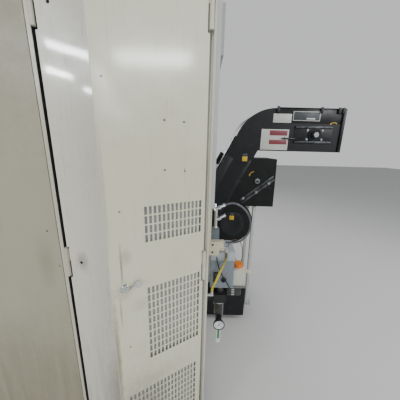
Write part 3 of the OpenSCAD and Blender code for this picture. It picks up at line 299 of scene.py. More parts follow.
# Painted sheet steel: sprayed and stoved enamel with a soft gloss, fine scratches, hand marks
# and grime that gathers low down. The real orange peel of about 1 mm is drawn 3 mm across, so
# that it shows.
oil_smear, dark_speck, bare_scratch, floor_dirt, hole_shade = (
    linear(tint) for tint in ("#857d6a", "#5b5548", "#b0a890", "#57503f", "#2f2b25")
)


def near_to(tree, place, centre, reach):
    """Falls from 1.15 at centre to 0.15 at reach, an oval in metres."""
    kind = "ShaderNodeVectorMath"
    share = [1 / r for r in reach]
    away = add(tree, kind, {1: centre}, {0: place}, operation="SUBTRACT")
    scaled = add(tree, kind, {1: share}, {0: away.outputs[0]}, operation="MULTIPLY")
    far = add(tree, kind, links={0: scaled.outputs[0]}, operation="LENGTH")
    return sum_of(tree, 1.15, far.outputs["Value"], "SUBTRACT")


def sprayed_enamel(name, base, dirty, rough=0.34, peel=0.22, grime=0.3, scratch=0.3, low=0.3,
                   coat=0.3, coat_rough=0.16, marks=(), hole_shade_dots=()):
    """Stoved enamel. Marks are (centre, reach, colour, weight), dots are (centre, size)."""
    material, tree, shader, place = new_material(
        name, IOR=1.5, Coat_Weight=coat, Coat_Roughness=coat_rough
    )
    tone = ramp(tree, noise(tree, place, 1.7, 5), [(0.32, linear(base)), (0.75, linear(dirty))])
    cloud = ramp(tree, noise(tree, place, 9, 9, 0.72), [(0.56, grey(0)), (0.84, grey(grime))])
    colour = mixed(tree, cloud, tone, oil_smear)
    speck = ramp(tree, noise(tree, place, 95, 5, 0.7), [(0.68, grey(0)), (0.75, grey(grime))])
    colour = mixed(tree, speck, colour, dark_speck)
    fine = noise(tree, stretched(tree, place, (170, 170, 5), (0.02, 0.05, 0)), 1.0, 3)
    lines = ramp(tree, fine, [(0.62, grey(0)), (0.67, grey(scratch)), (0.7, grey(0))])
    colour = mixed(tree, lines, colour, bare_scratch)
    reach = {"From Min": 0.85, "From Max": 0.02, "To Max": low}
    foot = add(tree, "ShaderNodeMapRange", reach, {"Value": height_of(tree, place)})
    run = noise(tree, stretched(tree, place, (30, 30, 2.2)), 1.0, 6, 0.6)
    drips = ramp(tree, run, [(0.35, grey(0.2)), (0.7, grey(1.4))])
    foot = sum_of(tree, foot.outputs["Result"], drips, "MULTIPLY", True)
    colour = mixed(tree, foot, colour, floor_dirt)
    blot = noise(tree, place, 38, 8, 0.75) if marks else None
    for centre, reach, hex_colour, weight in marks:
        ragged = sum_of(tree, blot, 0.42, "SUBTRACT")
        near = sum_of(tree, near_to(tree, place, centre, reach), ragged, "ADD")
        mask = ramp(tree, near, [(0.3, grey(0)), (0.95, grey(weight))])
        colour = mixed(tree, mask, colour, linear(hex_colour))
    # Painted shade: each dot is a dark disc for the shade inside a small hole.
    for centre, size in hole_shade_dots:
        near = near_to(tree, place, centre, (size, size, size))
        spot = ramp(tree, near, [(0.15, grey(0)), (0.45, grey(0.85))])
        colour = mixed(tree, spot, colour, hole_shade)
    dull, sharp = grey(rough + 0.14), grey(rough - 0.07)
    matt = ramp(tree, noise(tree, place, 14, 6), [(0.3, sharp), (0.75, dull)])
    coloured(tree, shader, colour, sum_of(tree, matt, foot, "ADD", True))
    orange_peel = noise(tree, place, 330, 1.5, 0.4)
    wave = sum_of(tree, noise(tree, place, 3.2, 2), 6.0, "MULTIPLY")
    height = sum_of(tree, sum_of(tree, orange_peel, wave, "ADD"), lines, "SUBTRACT")
    bump(tree, shader, height, peel, 0.0006)
    return material


def dressed(material, *names):
    """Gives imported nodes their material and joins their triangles' normals up to 32 degrees."""
    for name in names:
        part = nodes[name]
        part.data.materials.clear()
        part.data.materials.append(material)
        part.data.polygons.foreach_set("use_smooth", [True] * len(part.data.polygons))
        part.modifiers.new("weld", "WELD").merge_threshold = 0.000002
        part.modifiers.new("split", "EDGE_SPLIT").split_angle = math.radians(32)


def second_coat(name, material, test):
    """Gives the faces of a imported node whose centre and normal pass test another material."""
    part = nodes[name]
    part.data.materials.append(material)
    index = len(part.data.materials) - 1
    for face in part.data.polygons:
        if test(face.center, face.normal):
            face.material_index = index


# A warm, even cream for the cabinet's shell and hinges and the machine's own sheets.
cream_enamel = sprayed_enamel("cream stoved enamel", "#d0cdbc", "#c5c0aa")
dressed(cream_enamel, "cabinet_shell", "enclosure_panels", "enclosure_front", "front_door_left",
        "front_door_right", "cabinet_hinges", "grille_door_hinges", "leaf_hinges",
        "solid_door_hinges")
# The louvred door is glossier and more pebbled, so lamps break up on it. Brown smears run down
# its lock side, and the dots are painted shade, dark discs for small holes.
grille_enamel = sprayed_enamel(
    "cream enamel with orange peel", "#dedbc2", "#d2cfb3", peel=0.34, coat=0.75, coat_rough=0.14,
    rough=0.36,
    marks=(
        ((-0.447, 1.399, 1.2), (0.006, 0.006, 0.11), "#6d6557", 0.6),
        ((-0.437, 1.405, 1.01), (0.005, 0.005, 0.08), "#6d6557", 0.55),
        ((-0.462, 1.391, 1.23), (0.03, 0.03, 0.04), "#857e6e", 0.35),
        ((-0.447, 1.396, 1.1), (0.04, 0.04, 0.05), "#857e6e", 0.3),
        ((-0.416, 1.415, 0.8), (0.014, 0.02, 0.36), "#7d7055", 0.7),
        ((-0.416, 1.415, 1.45), (0.008, 0.012, 0.3), "#9a917a", 0.35),
        ((-0.5, 1.369, 1.02), (0.045, 0.035, 0.04), "#948c79", 0.25),
        ((-0.56, 1.334, 0.64), (0.18, 0.11, 0.06), "#948c79", 0.25),
        ((-0.48, 1.38, 0.4), (0.2, 0.12, 0.38), "#80765f", 0.5),
    ),
    hole_shade_dots=(
        ((-0.435, 1.406, 1.78), 0.0045), ((-0.453, 1.395, 1.393), 0.004),
        ((-0.456, 1.393, 0.848), 0.004), ((-0.589, 1.316, 1.683), 0.0045),
        ((-0.649, 1.281, 1.682), 0.0045), ((-0.588, 1.317, 1.522), 0.0045),
        ((-0.653, 1.278, 1.516), 0.0045),
    ),
)
dressed(grille_enamel, "grille_door")
# The narrow leaf is the whitest and smoothest sheet, with many rubbed lines and a grey hand
# mark beside its middle hinge.
leaf_enamel = sprayed_enamel(
    "glossy cream enamel, rubbed", "#e8e6d9", "#dedbc9", rough=0.26, peel=0.06, coat=0.8,
    coat_rough=0.07, grime=0.2, scratch=0.55, low=0.42,
    marks=(
        ((-0.215, 1.236, 1.115), (0.035, 0.03, 0.06), "#79715f", 0.5),
        ((-0.33, 1.246, 0.4), (0.08, 0.04, 0.3), "#7c735d", 0.5),
    ),
)
dressed(leaf_enamel, "left_leaf")
# The single door, without gloss and grey where hands reach, is darkened to olive: painted shade.
shaded_olive_enamel = sprayed_enamel(
    "cream enamel, dulled, darkened as painted shade", "#b5b29c", "#a5a28a", rough=0.46, coat=0.06, grime=0.35, low=0.55,
    peel=0.28,
    marks=(
        ((-0.055, 1.23, 1.1), (0.05, 0.02, 0.16), "#8b8471", 0.4),
        ((0.16, 1.23, 1.3), (0.07, 0.02, 0.12), "#7d7665", 0.45),
        ((0.1, 1.23, 2.15), (0.6, 0.2, 0.7), "#88836f", 0.5),
        ((0.1, 1.23, 0.35), (0.6, 0.2, 0.6), "#837c66", 0.4),
    ),
    hole_shade_dots=(((-0.08, 1.23, 1.249), 0.005), ((-0.11, 1.23, 1.087), 0.004)),
)
dressed(shaded_olive_enamel, "solid_door")
# The flank's cover is a cool blue-grey and the baffles a grey that makes the slots look deep;
# both greys are painted shade.
shaded_cover_enamel = sprayed_enamel(
    "blue-grey enamel cover, painted shade", "#bcc0be", "#adb0ac", rough=0.38, coat=0.25, grime=0.35
)
dressed(shaded_cover_enamel, "side_cover")
shaded_baffle_sheet = sprayed_enamel("grey baffle sheet, painted slot shade", "#c4c6c4", "#a9aba8", coat=0.1)
dressed(shaded_baffle_sheet, "grille_baffles")


# Bare metals: zinc plated pressings, ground shafts and rails, polished fittings and the scraped
# table. Fine lines draw their highlights out, and worn patches of about 50 mm dull them.
def plain_metal(name, base, worn, rough, grain=(4, 4, 260), grain_depth=0.1, blotch=0.35,
                painted_floor_reflection=None):
    """A bare metal; grain sets its lines, and a painted reflection greys sides that look down."""
    material, tree, shader, place = new_material(name, Metallic=1.0)
    tone = ramp(tree, noise(tree, place, 22, 6), [(0.35, linear(base)), (0.78, linear(worn))])
    if painted_floor_reflection:
        # Painted reflection: sides that look down are greyed as if they mirrored a dark floor.
        up = sum_of(tree, sum_of(tree, facing_up(tree), 0.5, "MULTIPLY"), 0.5, "ADD")
        steps = [(0.22, grey(1)), (0.44, grey(0.1)), (0.62, grey(0)), (0.8, grey(0.35))]
        tone = mixed(tree, ramp(tree, up, steps), tone, linear(painted_floor_reflection))
    lines = noise(tree, stretched(tree, place, grain), 3.0, 3)
    streaks = sum_of(tree, lines, blotch, "MULTIPLY")
    matt = sum_of(tree, streaks, rough - blotch / 2, "ADD", True)
    coloured(tree, shader, tone, matt)
    bump(tree, shader, lines, grain_depth, 0.0003)
    return material


zinc = plain_metal("zinc plated steel", "#a9abac", "#85868a", 0.42)
dressed(zinc, "mounting_plate", "chip_pans", "conveyor_belt", "tool_carousel")
ground = plain_metal("ground steel", "#a6a8ab", "#8a8c90", 0.28, (220, 220, 6), 0.08, 0.2)
dressed(ground, "fixed_rails", "spindle", "ball_screw_x", "ball_screw_y", "ball_screw_z",
        "tool_holders", "conveyor_shaft")
# Chrome is greyed on the sides that look down: a painted reflection of a dark, oily floor.
chrome = plain_metal(
    "polished chrome", "#eceeee", "#c3c6c9", 0.12, (30, 30, 30), 0.02, 0.08, "#2b2d30"
)
dressed(chrome, "lock_bezel", "lock_plug", "keyhole_cover", "air_fittings")
cast_iron = plain_metal("scraped cast iron", "#7d8081", "#5f6263", 0.38, (60, 60, 60), 0.12, 0.3)
dressed(cast_iron, "table")


# Machine paints and moulded plastics, each with its own sheen, dust and wear. Dust lies on
# what looks up, in clouds of about 70 mm. Paint is pebbled 4 mm across and mouldings 2 mm,
# somewhat coarser than the real skin, so that it shows.
def machine_paint(name, base, worn, rough, coat=0.15, dust=0.35, dust_hex="#8b877c", peel=0.2,
                  fine=240, ior=1.5):
    """A painted or moulded skin with dust and short scuffs; fine is its pebbles per metre."""
    material, tree, shader, place = new_material(
        name, IOR=ior, Coat_Weight=coat, Coat_Roughness=0.25
    )
    tone = ramp(tree, noise(tree, place, 3.5, 5), [(0.3, linear(base)), (0.78, linear(worn))])
    cloud = ramp(tree, noise(tree, place, 14, 8, 0.7), [(0.46, grey(0)), (0.8, grey(dust))])
    lying = sum_of(tree, facing_up(tree), dust, "MULTIPLY", True)
    settled = sum_of(tree, lying, cloud, "MAXIMUM")
    colour = mixed(tree, settled, tone, linear(dust_hex))
    scuffs = noise(tree, stretched(tree, place, (12, 150, 40), turn=(0.3, 0.2, 0.7)), 1.0, 4)
    lines = ramp(tree, scuffs, [(0.66, grey(0)), (0.7, grey(0.4)), (0.73, grey(0))])
    sharp, dull = grey(rough - 0.08), grey(rough + 0.12)
    matt = ramp(tree, noise(tree, place, 18, 5), [(0.3, sharp), (0.75, dull)])
    coloured(tree, shader, mixed(tree, lines, colour, linear(dust_hex)), matt)
    bump(tree, shader, noise(tree, place, fine, 2), peel, 0.0005)
    return material


# The conveyor's two near-black enamels; their low index keeps them dark under the lamps.
charcoal = machine_paint(
    "charcoal conveyor enamel", "#0c0e12", "#14171b", 0.38, 0.14, 0.07, "#3d4043", ior=1.38
)
dressed(charcoal, "coolant_tank", "conveyor_body")
guard_enamel = machine_paint(
    "warm charcoal guard enamel", "#0d0f0f", "#151717", 0.48, 0.04, 0.07, "#403f3b", ior=1.33
)
dressed(guard_enamel, "conveyor_guards")
# A greenish grey on the castings, a lighter one that sets covers apart, and the motors' paints.
casting = machine_paint("grey casting enamel", "#8b9291", "#7d8483", 0.45)
dressed(casting, "bed", "column", "saddle")
cover_grey = machine_paint("light grey cover enamel", "#c9ccc6", "#bfc2bb", 0.38)
dressed(cover_grey, "spindle_head", "tool_carriage", "pendant_arm", "pendant_box")
motor_black = machine_paint("black motor enamel", "#1b1c1e", "#232427", 0.42, 0.1, 0.25)
dressed(motor_black, "spindle_motor", "servo_motors")
motor_blue = machine_paint("blue gear motor enamel", "#3a5573", "#31485f", 0.4)
dressed(motor_blue, "conveyor_motor")
# Mouldings look matt beside the paint: black nylon, the pump's cool grey with a lighter lid,
# the valve block's slate, the junction's yellowed cream and the dark drive units.
black_mould = machine_paint(
    "black moulded nylon", "#141516", "#1d1e1f", 0.5, 0.0, 0.2, "#4a4843", 0.3, 600
)
dressed(black_mould, "frl_unit", "regulator_knob", "jog_wheel", "signal_tower")
pump_grey = machine_paint(
    "grey moulded pump case", "#87919b", "#78828b", 0.46, 0.0, 0.2, "#6b6d6b", 0.25, 600
)
dressed(pump_grey, "lube_pump")
lid_grey = machine_paint(
    "light grey moulded lid", "#b3b9bf", "#a3a9ae", 0.4, 0.1, 0.2, "#77776f", 0.2, 600
)
valve_grey = machine_paint(
    "blue-grey valve block", "#6d7882", "#5c666f", 0.42, 0.1, 0.2, "#55564f", 0.2, 600
)
cream_mould = machine_paint(
    "cream moulded junction", "#d9d3bb", "#cac3a8", 0.5, 0.0, 0.3, "#8f8873", 0.3, 500
)
dressed(cream_mould, "air_junction")
electrics = machine_paint(
    "drive unit plastic", "#33373c", "#3d4146", 0.55, 0.0, 0.2, "#6d6c68", 0.2, 700
)
dressed(electrics, "drive_units")
# Two signal colours, clean and a little shiny, and the feet's black, also painted gap shade.
red_mould = machine_paint(
    "red moulded handle", "#a3201a", "#8d1a15", 0.35, 0.3, 0.15, "#6b3d38", 0.1, 500
)
dressed(red_mould, "disconnect_handle", "emergency_stop")
yellow_mould = machine_paint(
    "yellow enamel mark", "#d9b21f", "#c49d1a", 0.45, 0.1, 0.25, "#6d6440", 0.1, 400
)
black_foot_and_gap_shade = machine_paint("black foot enamel and painted gap shade", "#26282a", "#303234", 0.5)
dressed(black_foot_and_gap_shade, "levelling_feet")

# Some nodes have two finishes, told apart by where their faces lie: the door's rolled edge,
# lightened as a painted highlight, the pump's bracket and shelf, the valve on the junction, the
# tracks and handles of the front, the plinth, black painted shade on the mullion and on ledges in
# the door gaps, and the pump motor.
# A lighter copy of the cream: painted highlight on the louvred door's lock edge and the returns.
painted_highlight_cream = sprayed_enamel(
    "cream enamel, lightened as painted highlight", "#f6f5ea", "#e9e7d8", rough=0.3, grime=0.12, coat=0.5
)
lock_side = Vector((0.86, 0.5, 0))
# Painted highlight: the lock edge's faces take the lighter cream, as a flange catching light.
second_coat("grille_door", painted_highlight_cream, lambda c, n: c.x > -0.428 and n.dot(lock_side) > 0.6)
second_coat("lube_pump", zinc, lambda c, n: c.x > -0.7731 or c.z < 0.8901)
second_coat("air_junction", valve_grey,
            lambda c, n: 1.1652 < c.z < 1.2155 and c.x < -0.7715 and c.y < 1.0885)
second_coat("enclosure_front", ground, lambda c, n: c.y < -1.2505)
second_coat("front_door_left", black_mould, lambda c, n: c.y < -1.2842)
second_coat("front_door_right", black_mould, lambda c, n: c.y < -1.2842)
second_coat("enclosure_panels", black_foot_and_gap_shade, lambda c, n: c.z < 0.0599)
# Painted shade: the mullion behind the leaf's hinge gap and the ledges in the door gaps are black.
second_coat("cabinet_shell", black_foot_and_gap_shade,
            lambda c, n: 1.184 < c.y < 1.2285 and -0.16 < c.x < -0.1 and 0.05 < c.z < 2.17)
second_coat("cabinet_shell", black_foot_and_gap_shade,
            lambda c, n: 1.205 < c.y < 1.2195 and abs(n.z) > 0.5 and 0.05 < c.z < 2.17)
second_coat("coolant_tank", motor_blue, lambda c, n: c.z > 0.3785)


# Clear and milky plastics: the filter bowls, the oil reservoir, its orange cap, the laminated
# windows of the front doors and the signal tower's lenses, all with a grey haze of old oil.
def clear_plastic(name, tint, rough, through, haze=0.2):
    """A plastic that lets through part of the light, its haze in patches of about 30 mm."""
    material, tree, shader, place = new_material(
        name, IOR=1.5, Transmission_Weight=through, Coat_Weight=0.4, Coat_Roughness=0.1
    )
    tone = ramp(tree, noise(tree, place, 30, 6), [(0.35, linear(tint)), (0.8, linear("#6d6b60"))])
    matt = ramp(tree, noise(tree, place, 40, 5), [(0.3, grey(rough)), (0.8, grey(rough + 0.2))])
    coloured(tree, shader, mixed(tree, haze, linear(tint), tone), matt)
    return material


dressed(clear_plastic("smoked polycarbonate bowl", "#1c2124", 0.12, 0.35), "frl_bowls")
dressed(clear_plastic("milky polythene tank", "#d6d9c6", 0.4, 0.2), "lube_reservoir")
amber = clear_plastic("orange moulded cap", "#f08322", 0.3, 0.1, 0.08)
dressed(amber, "lube_cap")
dressed(clear_plastic("laminated window", "#a9bcc0", 0.04, 0.85, 0.05), "window_left",
        "window_right")
for i, colour in enumerate(("#2f9d55", "#e59a24", "#c82a20")):
    lens = clear_plastic(f"signal lens {i}", colour, 0.18, 0.25, 0.05)
    low = 2.2652 + i * 0.062
    # The lens's wall, without the flat faces of the rings at its ends.
    second_coat("signal_tower", lens, lambda c, n: low < c.z < low + 0.0596 and (
        abs(n.z) < 0.5 or low + 0.001 < c.z < low + 0.0589))


# The narrow leaf is held by socket-head screws that sit in counterbores beside each hinge. Each
# is turned, with the socket sunk into its head; the black oxide is worn brighter in patches.
# Lengths of these and all later pieces are in millimetres, but a hose's diameter in metres.
def settled_piece(piece, name, material, body, ease=0, angle=35):
    """Puts a modelled piece's place into its mesh, eases its edges and fixes it to a body."""
    piece.name = name
    bpy.ops.object.transform_apply(location=True, rotation=True, scale=True)
    if ease:
        rounding = piece.modifiers.new("ease", "BEVEL")
        rounding.width = ease / 1000
        rounding.segments = 2
        rounding.angle_limit = math.radians(40)
        bpy.ops.object.modifier_apply(modifier=rounding.name)
    bpy.ops.object.shade_smooth_by_angle(angle=math.radians(angle))
    piece.data.materials.append(material)
    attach(piece, body)
    return piece


def closed_up():
    """Turns all faces of the piece in edit mode outward and leaves edit mode."""
    bpy.ops.mesh.select_all(action="SELECT")
    bpy.ops.mesh.normals_make_consistent(inside=False)
    bpy.ops.object.mode_set(mode="OBJECT")


def turned(name, place, axis, steps, material, body="machine", sides=32, angle=35):
    """A turned piece: a disc at place, drawn out along axis through (radius, height) steps."""
    radius, height = steps[0][0], 0.0
    bpy.ops.mesh.primitive_circle_add(vertices=sides, radius=radius / 1000, fill_type="NGON")
    piece = bpy.context.object
    bpy.ops.object.mode_set(mode="EDIT")
    bpy.ops.mesh.select_all(action="SELECT")
    for next_radius, next_height in steps[1:]:
        rise = (0, 0, (next_height - height) / 1000)
        bpy.ops.mesh.extrude_region_move(TRANSFORM_OT_translate={"value": rise})
        share = next_radius / radius
        bpy.ops.transform.resize(value=(share, share, 1))
        radius, height = next_radius, next_height
    closed_up()
    piece.rotation_euler = Vector(axis).to_track_quat("Z", "Y").to_euler()
    piece.location = Vector(place) / 1000
    return settled_piece(piece, name, material, body, angle=angle)


black_oxide = plain_metal(
    "black oxide steel", "#232324", "#5a5a5c", 0.36, (40, 40, 40), 0.05, 0.2
)
leaf_open = math.radians(5)
leaf_across = Vector((-math.cos(leaf_open), math.sin(leaf_open), 0))
leaf_out = Vector((math.sin(leaf_open), math.cos(leaf_open), 0))
for i, level in enumerate((180, 1110, 2040)):
    seat = Vector((-149, 1231, level)) + leaf_across * 60 - leaf_out * 4.2
    turned(f"leaf_screw_{i}", seat, leaf_out, [(4.6, 0), (4.8, 2.2), (4.2, 2.9), (2.7, 2.9),
           (2.5, 1)], black_oxide, "narrow_leaf", 24)


# The pressure gauge has a white dial with generic ticks, a black needle on a dark boss and a
# black rim. Rim, dial and boss are turned; the ticks are thin plates joined into one print.
def pick_face(piece, direction):
    """Opens a piece in edit mode and selects its face towards direction."""
    bpy.ops.object.mode_set(mode="EDIT")
    mesh = bmesh.from_edit_mesh(piece.data)
    for face in mesh.faces:
        face.select = face.normal.dot(direction) > 0.9
    bmesh.update_edit_mesh(piece.data)


def plate(name, low, high, material, body="machine", ease=0.8, inset=0, sink=0, turn=0):
    """A plate between two corners, turned about Y; inset and sink press a field into its top."""
    low, high = Vector(low) / 1000, Vector(high) / 1000
    bpy.ops.mesh.primitive_cube_add(size=1, location=(low + high) / 2, rotation=(0, turn, 0))
    piece = bpy.context.object
    piece.scale = high - low
    bpy.ops.object.transform_apply(location=False, rotation=False, scale=True)
    if inset:
        pick_face(piece, Vector((0, 0, 1)))
        bpy.ops.mesh.inset(thickness=inset / 1000)
        move = {"value": -sink / 1000}
        bpy.ops.mesh.extrude_region_shrink_fatten(TRANSFORM_OT_shrink_fatten=move)
        bpy.ops.object.mode_set(mode="OBJECT")
    return settled_piece(piece, name, material, body, ease)


def joined(name, pieces):
    """Joins like pieces into one."""
    bpy.ops.object.select_all(action="DESELECT")
    for piece in pieces:
        piece.select_set(True)
    bpy.context.view_layer.objects.active = pieces[0]
    bpy.ops.object.join()
    pieces[0].name = name


dial_white = machine_paint(
    "white printed dial", "#eceef2", "#dcdee2", 0.35, 0.6, 0.06, "#b5b2a6", 0.02, 300
)
gauge_x, gauge_z = -828, 674
gauge_centre = Vector((gauge_x, 1107.8, gauge_z))
turned("gauge_rim", (gauge_x, 1103, gauge_z), (0, 1, 0), [(30, 0), (31.2, 1), (31.2, 6.2),
       (30.2, 7.6), (27.4, 7.6), (27, 4.8)], black_mould, sides=56)
turned("gauge_dial", gauge_centre - Vector((0, 0.3, 0)), (0, 1, 0), [(26.8, 0), (26.8, 0.4),
       (25.6, 0.6), (24.8, 0.5)], dial_white, sides=48)


def round_dial(swing, reach, lift):
    """A point on the dial: swing from the top, reach from the centre, lift off the print."""
    return gauge_centre + Vector((math.sin(swing) * reach, lift, math.cos(swing) * reach))


ticks = []
for i in range(13):
    swing = math.radians(-135 + i * 22.5)
    spot = round_dial(swing, 20.8 if i % 3 else 19.4, 0.4)
    half = Vector((0.6, 0.25, 1.8) if i % 3 else (1, 0.25, 3))
    ticks.append(plate(f"tick_{i}", spot - half, spot + half, black_mould, ease=0.1, turn=swing))
joined("gauge_ticks", ticks)
needle_swing = math.radians(-38)
needle_mid = round_dial(needle_swing, 4, 1.1)
needle_half = Vector((1.2, 0.3, 14))
plate("gauge_needle", needle_mid - needle_half, needle_mid + needle_half, black_mould, ease=0.2,
      turn=needle_swing)
turned("gauge_boss", gauge_centre, (0, 1, 0), [(3.2, 0), (3.2, 1.4), (2.2, 1.8)], black_oxide,
       sides=24)

# Below the gauge hangs a clear flow tube with a printed green band. Above it the two bowls have
# pale locking collars, and a like ring sits in the regulator's cap and turns with it.
sight_clear = clear_plastic("clear flow tube", "#e6efe2", 0.12, 0.06, 0.05)
green_band = machine_paint("green printed band", "#2f8c57", "#2a7c4d", 0.4, 0.4, 0.1)
plate("flow_tube", (-840, 1074, 540), (-816, 1094, 658.5), sight_clear, ease=3)
plate("flow_band", (-835, 1093.8, 572), (-823, 1095.6, 628), green_band, ease=0.4)
collar_grey = machine_paint("grey moulded collar", "#a9aca6", "#8f918a", 0.4, 0.1, 0.3)
for i, depth in enumerate((1060, 985)):
    turned(f"bowl_collar_{i}", (gauge_x, depth, 789.5), (0, 0, 1), [(27.2, 0), (28.6, 1.2),
           (28.6, 8.8), (27.2, 10)], collar_grey, sides=40)
turned("regulator_cap_ring", (gauge_x, 1060, 878.8), (0, 0, 1), [(16.5, 0), (16.5, 1.2), (14, 2),
       (12, 1.2)], collar_grey, "regulator")

# The oil pump's pale lid is a separate moulding with a raised middle that overhangs the case
# a little and is pressed on over it.
plate("pump_lid", (-895, 938.5, 1046), (-772.8, 1082.5, 1092.5), lid_grey, ease=4, inset=10,
      sink=-3)

# On its face the pump carries a black socket, two rockers on a plate, a small lamp and four
# screws. A thin brown nylon capillary arcs from its lid to the filler's turned collar, and a
# black cable loops from the lid down to the shelf.
turned("pump_socket", (-843, 1071.5, 935), (0, 1, 0), [(12.2, 0), (12.2, 12.2), (13.6, 12.6),
       (13.6, 14.6), (10.4, 15), (9.8, 8.5)], black_mould, sides=40)
plate("pump_switch_frame", (-812.5, 1072.5, 920.5), (-789.5, 1084.5, 979.5), black_mould)
for i, low in enumerate((924.5, 951)):
    plate(f"pump_rocker_{i}", (-809, 1079, low), (-793, 1086, low + 23.5), electrics, ease=1.6)
turned("pump_lamp", (-860, 1083, 965), (0, 1, 0), [(4, 0), (4, 1.4), (2.4, 2.6)], amber, sides=24)
for i, (across, up) in enumerate(((-886, 897), (-886, 1030), (-780, 897), (-780, 1030))):
    turned(f"pump_screw_{i}", (across, 1080, up), (0, 1, 0), [(3, 0), (3, 1.2), (2.6, 1.8),
           (1.6, 1.8), (1.4, 0.8)], zinc, sides=20)
turned("filler_collar", (-925, 1030, 979.5), (0, 0, 1), [(26.2, 0), (27.2, 1), (27.2, 3.6),
       (24.6, 4.4), (23.6, 2.6)], dial_white, sides=40)
capillary_brown = hose_rubber("brown nylon capillary", "#5a4634", "#4c3a2a", 1.13, 0.98, 0.3)
capillary_route = [
    (-862, 1035, 1090.5), (-862.5, 1035, 1104), (-866, 1034, 1119), (-876, 1031, 1131),
    (-890, 1027, 1136), (-905, 1022, 1134), (-919, 1016, 1126), (-931, 1010, 1113),
    (-940, 1004, 1096), (-946, 999, 1077), (-949, 995, 1057), (-950.5, 992, 1036),
    (-951, 989, 1015), (-950, 987, 997), (-948, 986, 980.5),
]
laid_hose("capillary_tube", capillary_route, 0.004, capillary_brown, steps=2)
cable_black = hose_rubber("black cable sheath", "#1a1a1b", "#161617", 1.1, 0.86, 0.45)
cable_route = [
    (-800, 1070, 1094.5), (-800.5, 1073, 1082), (-801.5, 1079, 1068), (-803.5, 1085, 1052),
    (-807, 1090, 1035), (-812, 1093, 1017), (-819, 1095, 999), (-827, 1096, 981),
    (-836, 1096.5, 963), (-846, 1096, 945), (-857, 1095, 928), (-866, 1093, 912),
    (-873, 1090, 896), (-877.5, 1084.5, 881), (-880, 1075, 868.5), (-881, 1062, 861),
    (-881.5, 1047, 861), (-882, 1034, 868), (-882, 1027, 879), (-882, 1026, 885.5),
]
laid_hose("pump_cable", cable_route, 0.006, cable_black, steps=2)

# The oil tank under the pump's shelf is smoked polythene with a striped level strip: six pale
# plates joined into one print. A small cream bracket stands askew on the shelf above it.
tank_smoke = clear_plastic("smoked oil tank", "#1d2421", 0.25, 0.1, 0.1)
plate("oil_tank", (-954, 958, 786), (-872, 1016, 886), tank_smoke, ease=6)
stripes = []
for i in range(6):
    low = 792 + i * 15
    stripes.append(plate(f"stripe_{i}", (-915, 1015, low), (-899, 1017.2, low + 9.5),
                         lid_grey, ease=0.6))
joined("level_strip", stripes)
plate("tank_bracket", (-998.5, 1036, 950), (-956.5, 1038.5, 968), cream_mould, ease=0.6,
      turn=math.radians(-22))

# The cream junction has a ribbed socket ring round the air hose and two dark plugs below the
# solenoid. All three are turned mouldings, pushed into the block.
turned("socket_ring", (-828.5, 1080, 1130), (-1, 0, 0), [(28.4, 0), (29.4, 1), (29.4, 4),
       (26.2, 4.6), (24, 2.4)], cream_mould, sides=40)
for i, up in enumerate((1112, 1150)):
    turned(f"junction_plug_{i}", (-776, 1119.8, up), (0, 1, 0), [(5, 0), (5, 1.4), (3.6, 1.6),
           (3, 0.4)], black_mould, sides=24)

# The conveyor's plates are blank: pale, grey and red enamelled sheets and yellow squares, all
# stuck to the side that faces the doors. The two turning arrows are yellow too: the end face
# of a small bar is spun round a point, then drawn to a tip.
plate_pale = machine_paint("pale enamelled plate", "#cfcfc8", "#b9b9b2", 0.5, 0.1, 0.2)
plate_dark = machine_paint("grey enamelled plate", "#3b4146", "#31363a", 0.5, 0.1, 0.15)
plate_red = machine_paint("dull red enamelled field", "#8a2f3a", "#74303a", 0.5, 0.1, 0.15)
conveyor_start = -290
side_y = 180


def conveyor_plate(name, u0, z0, u1, z1, material, thick=1.2):
    """A plate on the conveyor's side, from its distance u along the conveyor and height z."""
    skirt = 2.1 if z0 > 1800 else 0
    low = (conveyor_start - u1, side_y + skirt, z0)
    high = (conveyor_start - u0, side_y + skirt + thick, z1)
    plate(name, low, high, material, ease=0.4)


for row in (
    ("blank_plate_0", 1013, 1816, 1165, 1886, plate_pale),
    ("blank_plate_1", 1176, 1834, 1402, 1908, plate_pale),
    ("blank_field_0", 1181, 1839, 1397, 1903, plate_dark, 1.6),
    ("blank_field_1", 1288, 1846, 1361, 1858, plate_pale, 2),
    ("blank_plate_2", 926, 1594, 1158, 1763, plate_pale),
    ("blank_field_2", 996, 1713, 1146, 1754, plate_red, 1.8),
    ("blank_field_3", 996, 1641, 1146, 1677, plate_red, 1.8),
    ("yellow_square_0", 779, 1492, 823, 1532, yellow_mould),
    ("grey_square_0", 781, 1536, 821, 1556, plate_dark),
    ("yellow_square_1", 698, 950, 740, 990, yellow_mould, 7.6),
    ("grey_square_1", 702, 995, 736, 1015, plate_dark, 7.2),
):
    conveyor_plate(*row)


def turning_arrow(name, u, z, lift, from_deg, to_deg):
    """A flat curved arrow round a point on the conveyor's side, lifted off its sheet."""
    radius, width = 0.036, 0.005  # metres, like the mesh itself
    begin, end = math.radians(from_deg), math.radians(to_deg)
    centre = Vector((conveyor_start - u, side_y + lift, z)) / 1000
    spot = centre + Vector((math.sin(begin), 0, math.cos(begin))) * radius
    bpy.ops.mesh.primitive_cube_add(size=1, location=spot, rotation=(0, begin, 0))
    piece = bpy.context.object
    piece.scale = (0.001, 0.0012, width)
    bpy.ops.object.transform_apply(location=True, rotation=True, scale=True)
    pick_face(piece, Vector((math.cos(begin), 0, -math.sin(begin))))
    bpy.ops.mesh.spin(steps=14, angle=begin - end, center=centre, axis=(0, 1, 0))
    head = Vector((math.cos(end), 0, -math.sin(end)))
    for reach, share in ((0.0005, 2.6), (width * 2.2, 0.08)):
        bpy.ops.mesh.extrude_region_move(TRANSFORM_OT_translate={"value": head * reach})
        bpy.ops.transform.resize(value=(share, 1, share))
    closed_up()
    settled_piece(piece, name, yellow_mould, "machine")


turning_arrow("turning_arrow_0", 891, 1366, 0.8, 0, 75)
turning_arrow("turning_arrow_1", 1523, 1790, 2.9, -45, 40)

